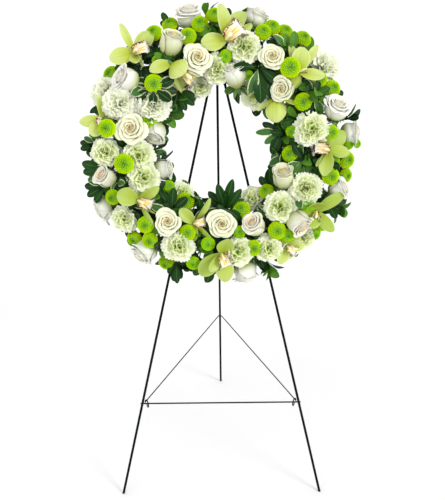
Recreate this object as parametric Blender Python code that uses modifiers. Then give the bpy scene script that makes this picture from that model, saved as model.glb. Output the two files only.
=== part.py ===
"""Round funeral wreath on a folding wire easel.

A foam ring in a plastic tray holds cut roses, carnations, cymbidium orchids, button
chrysanthemums and greenery, each stem pushed into its own hole. The ring hangs on a hook at
the easel's apex and is held to the two front legs by wire pins. The rear leg folds forward
about the apex pin, and the V-shaped brace folds up about the crossbar.

Metres, +Z up, the front faces -Y. The origin is on the floor at the middle of the object.
"""

import math

import bmesh
import bpy
from mathutils import Matrix, Quaternion, Vector

# Easel, driving dimensions
FRONT_LEAN = math.radians(12.0)
FRONT_FOOT_Y = -0.229
REAR_FOOT_Y = 0.229
FOOT_HALF_SPREAD = 0.203
LEG_MEETING_DISTANCE = 0.893  # where the front legs' lines would cross, up the leaning plane
LEG_RADIUS = 0.0025
CROSSBAR_RADIUS = 0.0015
BRACE_RADIUS = 0.0012
CROSSBAR_DISTANCE = 0.191
CROSSBAR_OVERHANG = 0.004
BRACE_HEIGHT = 0.2205
BRACE_EYE_INSET = 0.0080
BRACE_EYE_LENGTH = 0.0048
BRACE_EYE_DEPTH = 0.0085
BRACE_EYE_SKEW = 0.0030  # the strand behind the crossbar stands nearer to the leg
BRACE_BEND_RADIUS = 0.0046
APEX_EYE_RADIUS = 0.0047
APEX_EYE_SPACING = 0.0075
APEX_PIN_RADIUS = 0.0017
APEX_PIN_HEAD_RADIUS = 0.0036
APEX_PIN_HEAD_THICKNESS = 0.0015
HOOK_RADIUS = 0.0015
HOOK_EYE_RADIUS = 0.0038
HOOK_SIDE_CLEARANCE = 0.0018  # the leg beside the hook slants outwards
FIXING_PIN_RADIUS = 0.0007
GAP = 0.0003  # between pieces that touch

# Ring, driving dimensions
RING_RADIUS = 0.179  # of the circle in the middle of the foam
RING_CENTRE_X = 0.005
RING_CENTRE_DISTANCE = 0.7078
FOAM_RADIUS = 0.026
FOAM_BACK = 0.018
TRAY_WALL = 0.0015
TRAY_RIM_ANGLE = math.radians(-12)
RING_STEPS = 40
HOLE_CLEARANCE = 0.0003
STEM_RADIUS = 0.0020
STEM_END = 0.0140  # distance of a stem's cut end from the middle of the foam

# Flowers stand so that neighbours of any size share the room between them
FLOWER_STAND_OFF = 0.065
NEIGHBOUR_GAP = 0.0005
BRANCH_ROLL = math.radians(17)

# clock angle from the top and tilt from straight forward, in degrees, and head radius.
# A negative tilt leans into the hole of the wreath, a positive one outwards.
ROSES = (
    (306, 25, 0.029),
    (282, -12, 0.030),
    (283, -52, 0.029),
    (335, 20, 0.026),
    (345, -12, 0.029),
    (12, -40, 0.024),
    (30, 5, 0.029),
    (48, -20, 0.028),
    (72, 38, 0.030),
    (116, -42, 0.026),
    (108, 52, 0.025),
    (134, 15, 0.029),
    (157, -22, 0.028),
    (180, -32, 0.030),
    (216, -8, 0.028),
    (256, 34, 0.026),
    (250, -64, 0.024),
    (16, 72, 0.026),
    (169, 60, 0.026),
    (217, 64, 0.026),
)
ORCHIDS = (
    (320, 45, 0.032),
    (284, 37, 0.033),
    (332, -21, 0.032),
    (4, 24, 0.034),
    (57, -50, 0.030),
    (43, 32, 0.030),
    (91, 0, 0.033),
    (123, 38, 0.032),
    (181, 16, 0.033),
    (202, -26, 0.029),
    (236, 0, 0.032),
)
# one entry a stem, with a head or the heads that branch from it
CARNATIONS = (
    ((294, 18, 0.033), (303, -30, 0.037), (296, 60, 0.028)),
    ((14, 3, 0.034),),
    ((358, -34, 0.028),),
    ((35, -62, 0.032),),
    ((53, 70, 0.034),),
    ((78, -8, 0.036),),
    ((116, -4, 0.031), (135, -20, 0.033)),
    ((155, 25, 0.025), (147, 48, 0.024), (138, 54, 0.022)),
    ((204, 16, 0.032),),
    ((249, -23, 0.031), (265, -24, 0.027)),
)
BUTTON_SPRAYS = (
    ((344, 24, 0.0160), (351, 42, 0.0160), (358, 66, 0.0165)),
    ((21, 38, 0.0155), (24, 60, 0.0160), (30, 74, 0.0160)),
    ((89, 72, 0.0160), (96, 60, 0.0170), (103, 72, 0.0160)),
    ((133, 76, 0.0145), (127, 72, 0.0160)),
    ((225, 17, 0.0165), (218, 34, 0.0160), (224, 60, 0.0160)),
)
GREENERY = (
    (178, -66, 0.042),
    (246, 66, 0.046),
    (196, 66, 0.042),
)

# which way a bloom looks: between its own stem's line and straight forward
FACE_FORWARD = 0.45
ORCHID_FACE_FORWARD = 0.65

SIN_LEAN = math.sin(FRONT_LEAN)
COS_LEAN = math.cos(FRONT_LEAN)

COLLECTION_NAME = "funeral_wreath"

COLOURS = {
    "easel_paint": ((0.020, 0.035, 0.025), 0.45, 0.2),
    "bright_wire": ((0.55, 0.56, 0.57), 0.35, 1.0),
    "tray_plastic": ((0.03, 0.13, 0.05), 0.5, 0.0),
    "floral_foam": ((0.07, 0.20, 0.08), 0.95, 0.0),
    "rose_petal": ((0.93, 0.89, 0.80), 0.6, 0.0),
    "carnation_petal": ((0.80, 0.86, 0.62), 0.7, 0.0),
    "orchid_petal": ((0.66, 0.70, 0.20), 0.5, 0.0),
    "button_petal": ((0.38, 0.60, 0.04), 0.7, 0.0),
    "leaf": ((0.06, 0.16, 0.04), 0.5, 0.0),
}


def new_collection(name):
    collection = bpy.data.collections.new(name)
    bpy.context.scene.collection.children.link(collection)
    return collection


def material(name):
    found = bpy.data.materials.get(name)
    if found:
        return found
    colour, roughness, metallic = COLOURS[name]
    made = bpy.data.materials.new(name)
    made.use_nodes = True
    shader = made.node_tree.nodes["Principled BSDF"]
    shader.inputs["Base Color"].default_value = (*colour, 1.0)
    shader.inputs["Roughness"].default_value = roughness
    shader.inputs["Metallic"].default_value = metallic
    return made


def own_material(slot, owner):
    """Each sub-part has its own copy of its family's finish."""
    copy = material(slot).copy()
    copy.name = f"{slot}.{owner}"
    return copy


def add_object(name, data, slot, collection):
    obj = bpy.data.objects.new(name, data)
    data.materials.append(own_material(slot, name))
    collection.objects.link(obj)
    return obj


def make_cutter(obj):
    obj.hide_render = True
    obj.display_type = "WIRE"
    return obj


def plane_point(x, distance, forward=0.0):
    """A point by its distance up the leaning plane of the front legs, and forward of it."""
    y = FRONT_FOOT_Y + distance * SIN_LEAN - forward * COS_LEAN
    return Vector((x, y, distance * COS_LEAN + forward * SIN_LEAN))


def leg_half_spread(distance):
    return FOOT_HALF_SPREAD * (1.0 - distance / LEG_MEETING_DISTANCE)


def wire_curve(name, points, radius, slot, collection, cyclic=False):
    curve = bpy.data.curves.new(name, "CURVE")
    curve.dimensions = "3D"
    curve.bevel_depth = radius
    curve.bevel_resolution = 2
    curve.use_fill_caps = True
    spline = curve.splines.new("POLY")
    spline.points.add(len(points) - 1)
    for place, point in zip(spline.points, points):
        place.co = (*point, 1.0)
    spline.use_cyclic_u = cyclic
    return add_object(name, curve, slot, collection)


def curve_as_mesh(obj, slot, collection):
    """Turns a wire into a closed mesh, so that it can be cut."""
    name = obj.name
    evaluated = obj.evaluated_get(bpy.context.evaluated_depsgraph_get())
    mesh = bpy.data.meshes.new_from_object(evaluated)
    matrix = obj.matrix_world.copy()
    bpy.data.objects.remove(obj)
    mesh.materials.clear()
    bm = bmesh.new()
    bm.from_mesh(mesh)
    bmesh.ops.remove_doubles(bm, verts=bm.verts, dist=0.00001)
    bm.to_mesh(mesh)
    bm.free()
    made = add_object(name, mesh, slot, collection)
    made.matrix_world = matrix
    return made


def cut_flat_on_floor(obj):
    bm = bmesh.new()
    bm.from_mesh(obj.data)
    everything = bm.verts[:] + bm.edges[:] + bm.faces[:]
    cut = bmesh.ops.bisect_plane(
        bm, geom=everything, plane_co=(0, 0, 0), plane_no=(0, 0, -1), clear_outer=True
    )
    rim = [item for item in cut["geom_cut"] if isinstance(item, bmesh.types.BMEdge)]
    bmesh.ops.contextual_create(bm, geom=rim)
    bmesh.ops.recalc_face_normals(bm, faces=bm.faces)
    bm.to_mesh(obj.data)
    bm.free()


def eye_points(centre, start, turn_axis, sweep_degrees, step_degrees=24):
    """The bend of a wire eye: start turned about an axis through centre."""
    count = round(abs(sweep_degrees) / step_degrees)
    arm = start - centre
    points = []
    for index in range(1, count + 1):
        angle = math.radians(sweep_degrees) * index / count
        points.append(centre + Matrix.Rotation(angle, 3, turn_axis) @ arm)
    return points


def apex_centre():
    """The hinge line: behind the front legs' plane by the radius of their eyes."""
    top = LEG_MEETING_DISTANCE * (1.0 - APEX_EYE_SPACING / FOOT_HALF_SPREAD)
    return plane_point(0.0, top, -APEX_EYE_RADIUS)


def leg_with_eye(name, foot, centre, backwards, collection):
    """A straight wire from the floor that ends tangent to an open eye round the apex pin."""
    side = 1.0 if backwards else -1.0
    reach = centre - foot
    flat = math.hypot(reach.y, reach.z)
    lean = math.atan2(reach.y, reach.z) + side * math.asin(APEX_EYE_RADIUS / flat)
    outward = Vector((0.0, math.cos(lean), -math.sin(lean))) * side
    start = centre + outward * APEX_EYE_RADIUS
    below_floor = foot + (foot - start).normalized() * 0.01
    points = [below_floor, start]
    points += eye_points(centre, start, (1, 0, 0), side * 264)
    wire = wire_curve(name, points, LEG_RADIUS, "easel_paint", collection)
    leg = curve_as_mesh(wire, "easel_paint", collection)
    cut_flat_on_floor(leg)
    return leg


def build_legs(collection):
    apex = apex_centre()
    for name, side in (("front_leg_left", -1), ("front_leg_right", 1)):
        foot = Vector((side * FOOT_HALF_SPREAD, FRONT_FOOT_Y, 0.0))
        centre = apex + Vector((side * APEX_EYE_SPACING, 0, 0))
        leg_with_eye(name, foot, centre, False, collection)
    hinge = bpy.data.objects.new("rear_leg_hinge", None)
    hinge.location = apex
    collection.objects.link(hinge)
    rear = leg_with_eye("rear_leg", Vector((0, REAR_FOOT_Y, 0)), apex, True, collection)
    rear.parent = hinge
    rear.matrix_parent_inverse = Matrix.Translation(-apex)


def turned(name, profile, steps, slot, collection):
    """A profile of (radius, height) points turned about local Z."""
    mesh = bpy.data.meshes.new(name)
    bm = bmesh.new()
    corners = [bm.verts.new((radius, 0.0, height)) for radius, height in profile]
    for first, second in zip(corners, corners[1:]):
        bm.edges.new((first, second))
    if profile[0][0] > 0.0:
        bm.edges.new((corners[-1], corners[0]))
    bm.to_mesh(mesh)
    bm.free()
    obj = add_object(name, mesh, slot, collection)
    screw = obj.modifiers.new("turn", "SCREW")
    screw.steps = steps
    screw.render_steps = steps
    screw.use_merge_vertices = True
    screw.merge_threshold = 0.00002
    return obj


def hook_x():
    return APEX_EYE_SPACING + LEG_RADIUS + HOOK_RADIUS + HOOK_SIDE_CLEARANCE


def build_apex_pin(collection):
    half = hook_x() + HOOK_RADIUS + 2 * GAP
    head = half + APEX_PIN_HEAD_THICKNESS
    profile = (
        (0.0, head),
        (APEX_PIN_HEAD_RADIUS, head),
        (APEX_PIN_HEAD_RADIUS, half),
        (APEX_PIN_RADIUS, half),
        (APEX_PIN_RADIUS, -half),
        (APEX_PIN_HEAD_RADIUS, -half),
        (APEX_PIN_HEAD_RADIUS, -head),
        (0.0, -head),
    )
    pin = turned("apex_pin", profile, 14, "bright_wire", collection)
    pin.location = apex_centre()
    pin.rotation_euler = (0.0, math.pi / 2, 0.0)


def build_hanging_hook(collection):
    """A wire hook on the apex pin, under the inner edge of the ring's top."""
    x = hook_x()
    apex = apex_centre() + Vector((x, 0, 0))
    ring_top = RING_CENTRE_DISTANCE + RING_RADIUS
    under = ring_top - FOAM_RADIUS - TRAY_WALL - HOOK_RADIUS - 4 * GAP
    front = ring_core_forward() + FOAM_RADIUS * 0.95
    start = apex + Vector((0, COS_LEAN, -SIN_LEAN)) * HOOK_EYE_RADIUS
    eye = eye_points(apex, start, (1, 0, 0), 150)
    corner = 0.006
    shank = [plane_point(x, under, forward) for forward in (0.002, 0.012, front - corner)]
    bend = []
    for degrees in (22, 45, 68, 90):
        angle = math.radians(degrees)
        forward = front - corner + corner * math.sin(angle)
        bend.append(plane_point(x, under + corner * (1 - math.cos(angle)), forward))
    tip = plane_point(x, under + 0.016, front + 0.001)
    points = [start] + eye[:-1]
    points.reverse()
    over = eye_points(apex, start, (1, 0, 0), -66)
    wire_curve(
        "hanging_hook", points + over + shank + bend + [tip], HOOK_RADIUS, "easel_paint", collection
    )


def crossbar_centre():
    back = LEG_RADIUS + CROSSBAR_RADIUS + GAP
    return plane_point(0.0, CROSSBAR_DISTANCE, -back)


def build_crossbar(collection):
    centre = crossbar_centre()
    half = leg_half_spread(CROSSBAR_DISTANCE) + CROSSBAR_OVERHANG
    ends = [centre + Vector((side * half, 0, 0)) for side in (-1, 1)]
    wire_curve("crossbar", ends, CROSSBAR_RADIUS, "easel_paint", collection)


def rear_leg_point(height):
    """The middle of the rear leg at a height above the floor."""
    apex = apex_centre()
    foot = Vector((0, REAR_FOOT_Y, 0))
    reach = apex - foot
    flat = math.hypot(reach.y, reach.z)
    lean = math.atan2(reach.y, reach.z) + math.asin(APEX_EYE_RADIUS / flat)
    return foot + Vector((0, math.tan(lean), 1)) * height


def build_brace(collection):
    """One wire: a long open eye round the crossbar, an arm, a bend behind the rear leg, and back."""
    pivot = crossbar_centre()
    tip = rear_leg_point(BRACE_HEIGHT)
    back = (tip - pivot).normalized()
    up = Vector((1, 0, 0)).cross(back)
    eye_x = leg_half_spread(CROSSBAR_DISTANCE) - BRACE_EYE_INSET
    reach = (tip - pivot).length
    half_angle = math.atan2(eye_x + BRACE_EYE_SKEW, reach)
    turns = []
    steps = 13
    pitch = 2 * BRACE_RADIUS + 2 * GAP
    for index in range(steps + 1):
        angle = math.radians(344) * index / steps
        along = BRACE_EYE_LENGTH * math.cos(angle)
        rise = BRACE_EYE_DEPTH * math.sin(angle)
        x = eye_x + BRACE_EYE_SKEW * math.cos(angle) - pitch * index / steps
        turns.append(pivot + back * along + up * rise + Vector((x, 0, 0)))
    bend = []
    for index in range(7):
        angle = math.radians(90) - half_angle
        angle = angle - 2 * angle * index / 6
        sideways = BRACE_BEND_RADIUS * math.sin(angle)
        bend.append(tip + back * BRACE_BEND_RADIUS * math.cos(angle) + Vector((sideways, 0, 0)))
    right = list(reversed(turns))
    left = [Vector((-p.x, p.y, p.z)) for p in turns]
    hinge = bpy.data.objects.new("brace_hinge", None)
    hinge.location = pivot
    collection.objects.link(hinge)
    brace = wire_curve("rear_brace", right + bend + left, BRACE_RADIUS, "easel_paint", collection)
    brace.parent = hinge
    brace.matrix_parent_inverse = Matrix.Translation(-pivot)


def ring_core_forward():
    return LEG_RADIUS + GAP + TRAY_WALL + GAP + FOAM_BACK


def ring_matrix():
    """Ring frame: X to the right, Y up the leaning plane, Z towards the viewer."""
    centre = plane_point(RING_CENTRE_X, RING_CENTRE_DISTANCE, ring_core_forward())
    turn = Matrix(((1, 0, 0), (0, SIN_LEAN, -COS_LEAN), (0, COS_LEAN, SIN_LEAN)))
    return Matrix.Translation(centre) @ turn.to_4x4()


def core_point(clock):
    angle = math.radians(clock)
    return Vector((math.sin(angle), math.cos(angle), 0.0)) * RING_RADIUS


def stem_direction(clock, tilt):
    outwards = core_point(clock).normalized()
    lean = math.radians(tilt)
    return outwards * math.sin(lean) + Vector((0, 0, 1)) * math.cos(lean)


def head_centre(head):
    clock, tilt, radius = head
    reach = math.hypot(FLOWER_STAND_OFF, radius)
    return core_point(clock) + stem_direction(clock, tilt) * reach


def arc(radius, first, last, count):
    """Points of a circle round the foam's middle, in the ring's section."""
    places = []
    for index in range(count + 1):
        angle = first + (last - first) * index / count
        places.append((RING_RADIUS + radius * math.cos(angle), radius * math.sin(angle)))
    return places


def build_foam(collection):
    low = -math.asin(FOAM_BACK / FOAM_RADIUS)
    profile = arc(FOAM_RADIUS, math.pi - low, low, 8)
    return turned("foam_ring", profile, RING_STEPS, "floral_foam", collection)


def build_tray(collection):
    inner = FOAM_RADIUS + GAP
    outer = inner + TRAY_WALL
    inner_low = -math.asin((FOAM_BACK + GAP) / inner)
    outer_low = -math.asin((FOAM_BACK + GAP + TRAY_WALL) / outer)
    profile = arc(outer, TRAY_RIM_ANGLE, outer_low, 2)
    profile += arc(outer, math.pi - outer_low, math.pi - TRAY_RIM_ANGLE, 2)
    profile += arc(inner, math.pi - TRAY_RIM_ANGLE, math.pi - inner_low, 2)
    profile += arc(inner, inner_low, TRAY_RIM_ANGLE, 2)
    return turned("ring_tray", profile, RING_STEPS, "tray_plastic", collection)


def rod(bm, start, end, radius, sides):
    """A closed straight rod in bm."""
    axis = end - start
    turn = axis.to_track_quat("Z", "Y").to_matrix().to_4x4()
    middle = Matrix.Translation((start + end) / 2)
    bmesh.ops.create_cone(
        bm,
        cap_ends=True,
        segments=sides,
        radius1=radius,
        radius2=radius,
        depth=axis.length,
        matrix=middle @ turn,
    )


def stem_cutter(heads, collection):
    """All stem holes of the foam, as one cutter of separate rods."""
    bm = bmesh.new()
    for clock, tilt, _ in heads:
        core = core_point(clock)
        direction = stem_direction(clock, tilt)
        start = core + direction * (STEM_END - GAP)
        end = core + direction * (FOAM_RADIUS + 0.003)
        rod(bm, start, end, STEM_RADIUS + HOLE_CLEARANCE, 6)
    mesh = bpy.data.meshes.new("stem_holes")
    bm.to_mesh(mesh)
    bm.free()
    return make_cutter(add_object("stem_holes", mesh, "floral_foam", collection))


def cut(target, cutter, operation="DIFFERENCE"):
    modifier = target.modifiers.new(cutter.name, "BOOLEAN")
    modifier.operation = operation
    modifier.solver = "EXACT"
    modifier.object = cutter


def leg_crossing(side):
    """Where a front leg passes the lower half of the ring's middle, in the ring's plane."""
    lower = 0.0
    upper = RING_CENTRE_DISTANCE
    for _ in range(40):
        middle = (lower + upper) / 2
        x = side * leg_half_spread(middle) - RING_CENTRE_X
        if math.hypot(x, middle - RING_CENTRE_DISTANCE) > RING_RADIUS:
            lower = middle
        else:
            upper = middle
    return Vector((x, middle - RING_CENTRE_DISTANCE, 0.0))


def build_fixing_pins(seat, targets, collection, cutters):
    """U pins behind the front legs, with both prongs through the tray into the foam."""
    behind = -ring_core_forward() - LEG_RADIUS - GAP - FIXING_PIN_RADIUS
    half = LEG_RADIUS + GAP + FIXING_PIN_RADIUS + 0.0004
    corner = 0.0014
    hole_bm = bmesh.new()
    for name, side in (("fixing_pin_left", -1), ("fixing_pin_right", 1)):
        place = leg_crossing(side)
        slope = math.atan2(-side * FOOT_HALF_SPREAD, LEG_MEETING_DISTANCE)
        across = Vector((math.cos(slope), math.sin(slope), 0.0))
        up = Vector((0, 0, 1))
        quarter = []
        for degrees in (90, 60, 30, 0):
            angle = math.radians(degrees)
            sideways = half - corner + corner * math.sin(angle)
            height = behind + corner - corner * math.cos(angle)
            quarter.append((sideways, height))
        prong = [(half, -0.004)] + quarter
        right = [place + across * s + up * h for s, h in prong]
        left = [place - across * s + up * h for s, h in reversed(prong)]
        pin = wire_curve(name, right + left, FIXING_PIN_RADIUS, "bright_wire", collection)
        pin.parent = seat
        for way in (-1, 1):
            foot = place + across * half * way
            rod(
                hole_bm,
                foot + up * (behind + 0.002),
                foot + up * (-0.004 + GAP),
                FIXING_PIN_RADIUS + HOLE_CLEARANCE,
                8,
            )
    mesh = bpy.data.meshes.new("pin_holes")
    hole_bm.to_mesh(mesh)
    hole_bm.free()
    holes = make_cutter(add_object("pin_holes", mesh, "floral_foam", cutters))
    holes.parent = seat
    for target in targets:
        cut(target, holes)


# Shapes of the blooms: distance of the skin from the head's centre, as a share of its radius,
# by the angle from the line it faces (front) and the turn round that line (turn).


def blend(table, angle):
    """Reads a share between the (degrees, share) steps of a table."""
    degrees = math.degrees(angle)
    for (first, low), (second, high) in zip(table, table[1:]):
        if degrees <= second:
            part = (degrees - first) / (second - first)
            return low + (high - low) * part
    return table[-1][1]


def rose_skin(front, turn):
    outline = ((0, 0.80), (26, 0.84), (52, 0.98), (78, 1.0), (104, 0.82), (130, 0.55), (180, 0.5))
    petals = 0.05 * math.cos(5 * turn + 2 * front)
    return blend(outline, front) * (1 + petals * math.sin(front))


def carnation_skin(front, turn):
    outline = ((0, 0.62), (26, 0.70), (52, 0.88), (78, 1.0), (104, 0.62), (130, 0.34), (180, 0.3))
    frill = 0.06 * math.cos(5 * turn)
    return blend(outline, front) * (1 + frill * math.sin(front))


def orchid_skin(front, turn):
    """Five petals that reach past the head's own radius, and the lip below the column."""
    petal = abs(math.cos(2.5 * (turn - math.pi / 2)))
    spread = math.exp(-(((front - math.radians(80)) / math.radians(22)) ** 2))
    lip = math.exp(-(((turn + math.pi / 2) / 0.5) ** 2)) * math.sin(front) ** 2
    star = 0.40 + 1.0 * spread * petal
    return max(star, 0.85 * lip)


def button_skin(front, turn):
    return 1.0 - 0.12 * math.cos(front) ** 2


def greenery_skin(front, turn):
    """Seven leaves that lean forward round a stem."""
    leaf = 0.5 + 0.5 * math.cos(7 * (turn - math.pi / 2))
    spread = math.exp(-(((front - math.radians(58)) / math.radians(24)) ** 2))
    return 0.20 + 0.80 * leaf * spread


KINDS = {
    # skin, sides, rings, share of forward look, material
    "rose": (rose_skin, 10, 7, FACE_FORWARD, "rose_petal"),
    "carnation": (carnation_skin, 10, 7, FACE_FORWARD, "carnation_petal"),
    "orchid": (orchid_skin, 15, 7, ORCHID_FACE_FORWARD, "orchid_petal"),
    "button": (button_skin, 8, 6, FACE_FORWARD, "button_petal"),
    "greenery": (greenery_skin, 14, 7, 0.15, "leaf"),
}


def room_walls(head, neighbours, gap):
    """Flat walls half-way to each neighbour, weighted by size, as (normal, distance)."""
    centre = head_centre(head)
    walls = []
    for other in neighbours:
        towards = head_centre(other) - centre
        apart = towards.length
        if apart > head[2] + other[2] + 0.01:
            continue
        share = (apart**2 + head[2] ** 2 - other[2] ** 2) / (2 * apart)
        walls.append((towards / apart, share - gap))
    return walls


def kept_inside(point, walls):
    """Draws a point in towards the head's centre until it is inside every wall."""
    scale = 1.0
    for normal, distance in walls:
        along = normal.dot(point)
        if along * scale > distance:
            scale = distance / along
    return point * scale


def bloom(name, kind, head, neighbours, root, seat, collection, branch=0):
    """One bloom with its stem, as one closed skin reshaped from a sphere.

    root is the point, in the ring's frame, where the stem ends. No wall and no angle is shared
    by two heads of one stem, so that their union is clean.
    """
    skin, sides, rings, forward, slot = KINDS[kind]
    clock, tilt, radius = head
    centre = head_centre(head)
    facing = stem_direction(clock, tilt).lerp(Vector((0, 0, 1)), forward).normalized()
    turn = facing.to_track_quat("Z", "Y") @ Quaternion((0, 0, 1), BRANCH_ROLL * branch)
    walls = room_walls(head, neighbours, NEIGHBOUR_GAP * (1 + branch))
    walls = [(turn.inverted() @ normal, distance) for normal, distance in walls]
    stem = turn.inverted() @ (root - centre)
    stem_axis = stem.normalized()
    stem_radius = min(STEM_RADIUS, radius * 0.12)
    bm = bmesh.new()
    bmesh.ops.create_uvsphere(bm, u_segments=sides, v_segments=rings, radius=1.0)
    for vertex in bm.verts:
        front = math.acos(max(-1.0, min(1.0, vertex.co.z)))
        around = math.atan2(vertex.co.y, vertex.co.x)
        ring = round(front / math.pi * rings)
        if ring == rings:
            vertex.co = stem
        elif ring >= rings - 2:
            side = Vector((math.cos(around), math.sin(around), 0.0))
            side = (side - stem_axis * side.dot(stem_axis)).normalized()
            place = stem if ring == rings - 1 else stem_axis * radius * 0.7
            vertex.co = place + side * stem_radius
        else:
            vertex.co = kept_inside(vertex.co * skin(front, around) * radius, walls)
    mesh = bpy.data.meshes.new(name)
    bm.to_mesh(mesh)
    bm.free()
    mesh.shade_smooth()
    obj = add_object(name, mesh, slot, collection)
    obj.parent = seat
    obj.location = centre
    obj.rotation_mode = "QUATERNION"
    obj.rotation_quaternion = turn
    return obj


def branch_stem(name, kind, heads, others, seat, collection, cutters):
    """A stem with one head in the foam's hole, and the heads that branch from it."""
    first = heads[0]
    root = core_point(first[0]) + stem_direction(first[0], first[1]) * STEM_END
    main = bloom(name, kind, first, others, root, seat, collection)
    for index in range(1, len(heads)):
        head = heads[index]
        part = f"{name}_branch_{index}"
        base = head_centre(head) - stem_direction(head[0], head[1]) * head[2]
        extra = bloom(part, kind, head, others, base, seat, cutters, index)
        cut(main, make_cutter(extra), "UNION")
        bm = bmesh.new()
        rod(bm, head_centre(head), head_centre(heads[index - 1]), STEM_RADIUS, 6)
        mesh = bpy.data.meshes.new(f"{part}_twig")
        bm.to_mesh(mesh)
        bm.free()
        twig = make_cutter(add_object(mesh.name, mesh, "leaf", cutters))
        twig.parent = seat
        cut(main, twig, "UNION")
    return main


def flower_groups():
    """Every flower node as (name, kind, heads)."""
    groups = []
    for number, head in enumerate(ROSES, 1):
        groups.append((f"rose_{number:02d}", "rose", (head,)))
    for number, head in enumerate(ORCHIDS, 1):
        groups.append((f"orchid_{number:02d}", "orchid", (head,)))
    for number, heads in enumerate(CARNATIONS, 1):
        groups.append((f"carnation_{number:02d}", "carnation", heads))
    for number, heads in enumerate(BUTTON_SPRAYS, 1):
        groups.append((f"button_spray_{number}", "button", heads))
    for number, head in enumerate(GREENERY, 1):
        groups.append((f"greenery_sprig_{number}", "greenery", (head,)))
    return groups


def build_flowers(seat, foam, collection, cutters):
    groups = flower_groups()
    for name, kind, heads in groups:
        others = [head for other, _, found in groups if other != name for head in found]
        branch_stem(name, kind, heads, others, seat, collection, cutters)
    holes = stem_cutter([heads[0] for _, _, heads in groups], cutters)
    holes.parent = seat
    cut(foam, holes)


def clear_scene():
    for obj in list(bpy.data.objects):
        bpy.data.objects.remove(obj)


def main():
    clear_scene()
    collection = new_collection(COLLECTION_NAME)
    cutters = new_collection(COLLECTION_NAME + "_cutters")
    build_legs(collection)
    build_apex_pin(collection)
    build_hanging_hook(collection)
    build_crossbar(collection)
    build_brace(collection)
    seat = bpy.data.objects.new("ring_seat", None)
    seat.matrix_world = ring_matrix()
    collection.objects.link(seat)
    foam = build_foam(collection)
    tray = build_tray(collection)
    for part in (foam, tray):
        part.parent = seat
    build_fixing_pins(seat, (foam, tray), collection, cutters)
    build_flowers(seat, foam, collection, cutters)


main()
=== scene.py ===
"""Looks of the funeral wreath on its wire easel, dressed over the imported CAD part.

Every bloom is built petal by petal about its own axis, then set on the ring. The easel, the pins,
the tray and the foam keep their CAD solids and get a finish.
"""

import math

import bpy
import numpy as np
from mathutils import Matrix, Vector


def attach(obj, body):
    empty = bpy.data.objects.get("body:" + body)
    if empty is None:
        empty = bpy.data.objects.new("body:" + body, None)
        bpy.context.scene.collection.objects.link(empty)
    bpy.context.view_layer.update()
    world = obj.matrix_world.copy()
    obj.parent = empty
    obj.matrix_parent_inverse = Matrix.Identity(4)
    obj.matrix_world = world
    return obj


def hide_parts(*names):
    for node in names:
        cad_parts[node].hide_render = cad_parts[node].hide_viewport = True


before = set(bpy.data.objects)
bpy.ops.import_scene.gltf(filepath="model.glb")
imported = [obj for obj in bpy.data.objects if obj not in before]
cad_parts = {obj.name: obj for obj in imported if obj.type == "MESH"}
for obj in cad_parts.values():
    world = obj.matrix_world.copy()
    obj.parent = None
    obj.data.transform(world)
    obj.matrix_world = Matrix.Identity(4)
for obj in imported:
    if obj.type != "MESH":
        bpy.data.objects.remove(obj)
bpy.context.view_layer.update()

# Lengths by name are in metres. The ring has its own frame: X to the right, Y up the leaning plane
# of the legs, Z towards the viewer.
LEAN = math.radians(12.0)
FOAM_BACK = 0.018
RING_RADIUS = 0.179
RING_BODY = "wreath_and_front"
FORWARD = Vector((0, 0, 1))

# How far a bloom stands off the foam's core, and how far a round head turns from its stem's line
# to straight forward
FLOWER_STAND_OFF = 0.065
FACE_FORWARD = 0.5

# Stems, and how far from the core they end in the foam
STEM_RADIUS = 0.0020
TWIG_RADIUS = 0.0012
FILL_TWIG_RADIUS = 0.0011
STEM_END = 0.0140

# The golden angle, the golden part of a range, and how far round its axis a bloom may be turned
GOLDEN = math.radians(137.508)
GOLDEN_PART = 0.618034
ROLL_RANGE = 6.28
Z_AXIS = np.array((0, 0, 1))

# Petals
ROSE_PETALS = 28
CARNATION_PETALS = 38
SEPALS = 5
PETAL_THICKNESS = 0.0005
TEPAL_THICKNESS = 0.0009

# A button chrysanthemum of a larger radius than this is full, a smaller one is greener
FULL_BUTTON = 0.0148
FULL_FLORETS = 200
SMALL_FLORETS = 150

# A sprig's leaf is this wide for its length, and a leaf of the fans is narrowed a little
LEAF_WIDTH = 0.48
FAN_LEAF_NARROWING = 0.88
FAN_STAGGER = 0.012
LEAF_THICKNESS = 0.0006

# The fill's sprigs are spread round the ring and between two tilts. Their leaves are given as in
# the table GREENERY. None stands near the hook, which is at the top of the hole.
FILL_SPRIGS = 300
FILL_PIECES = 8
FILL_TILTS = (-92, 102)
FILL_LEAVES = (6, 36, 74, 0.07)
HOOK_TILT = -50
HOOK_CLOCK = 14

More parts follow.
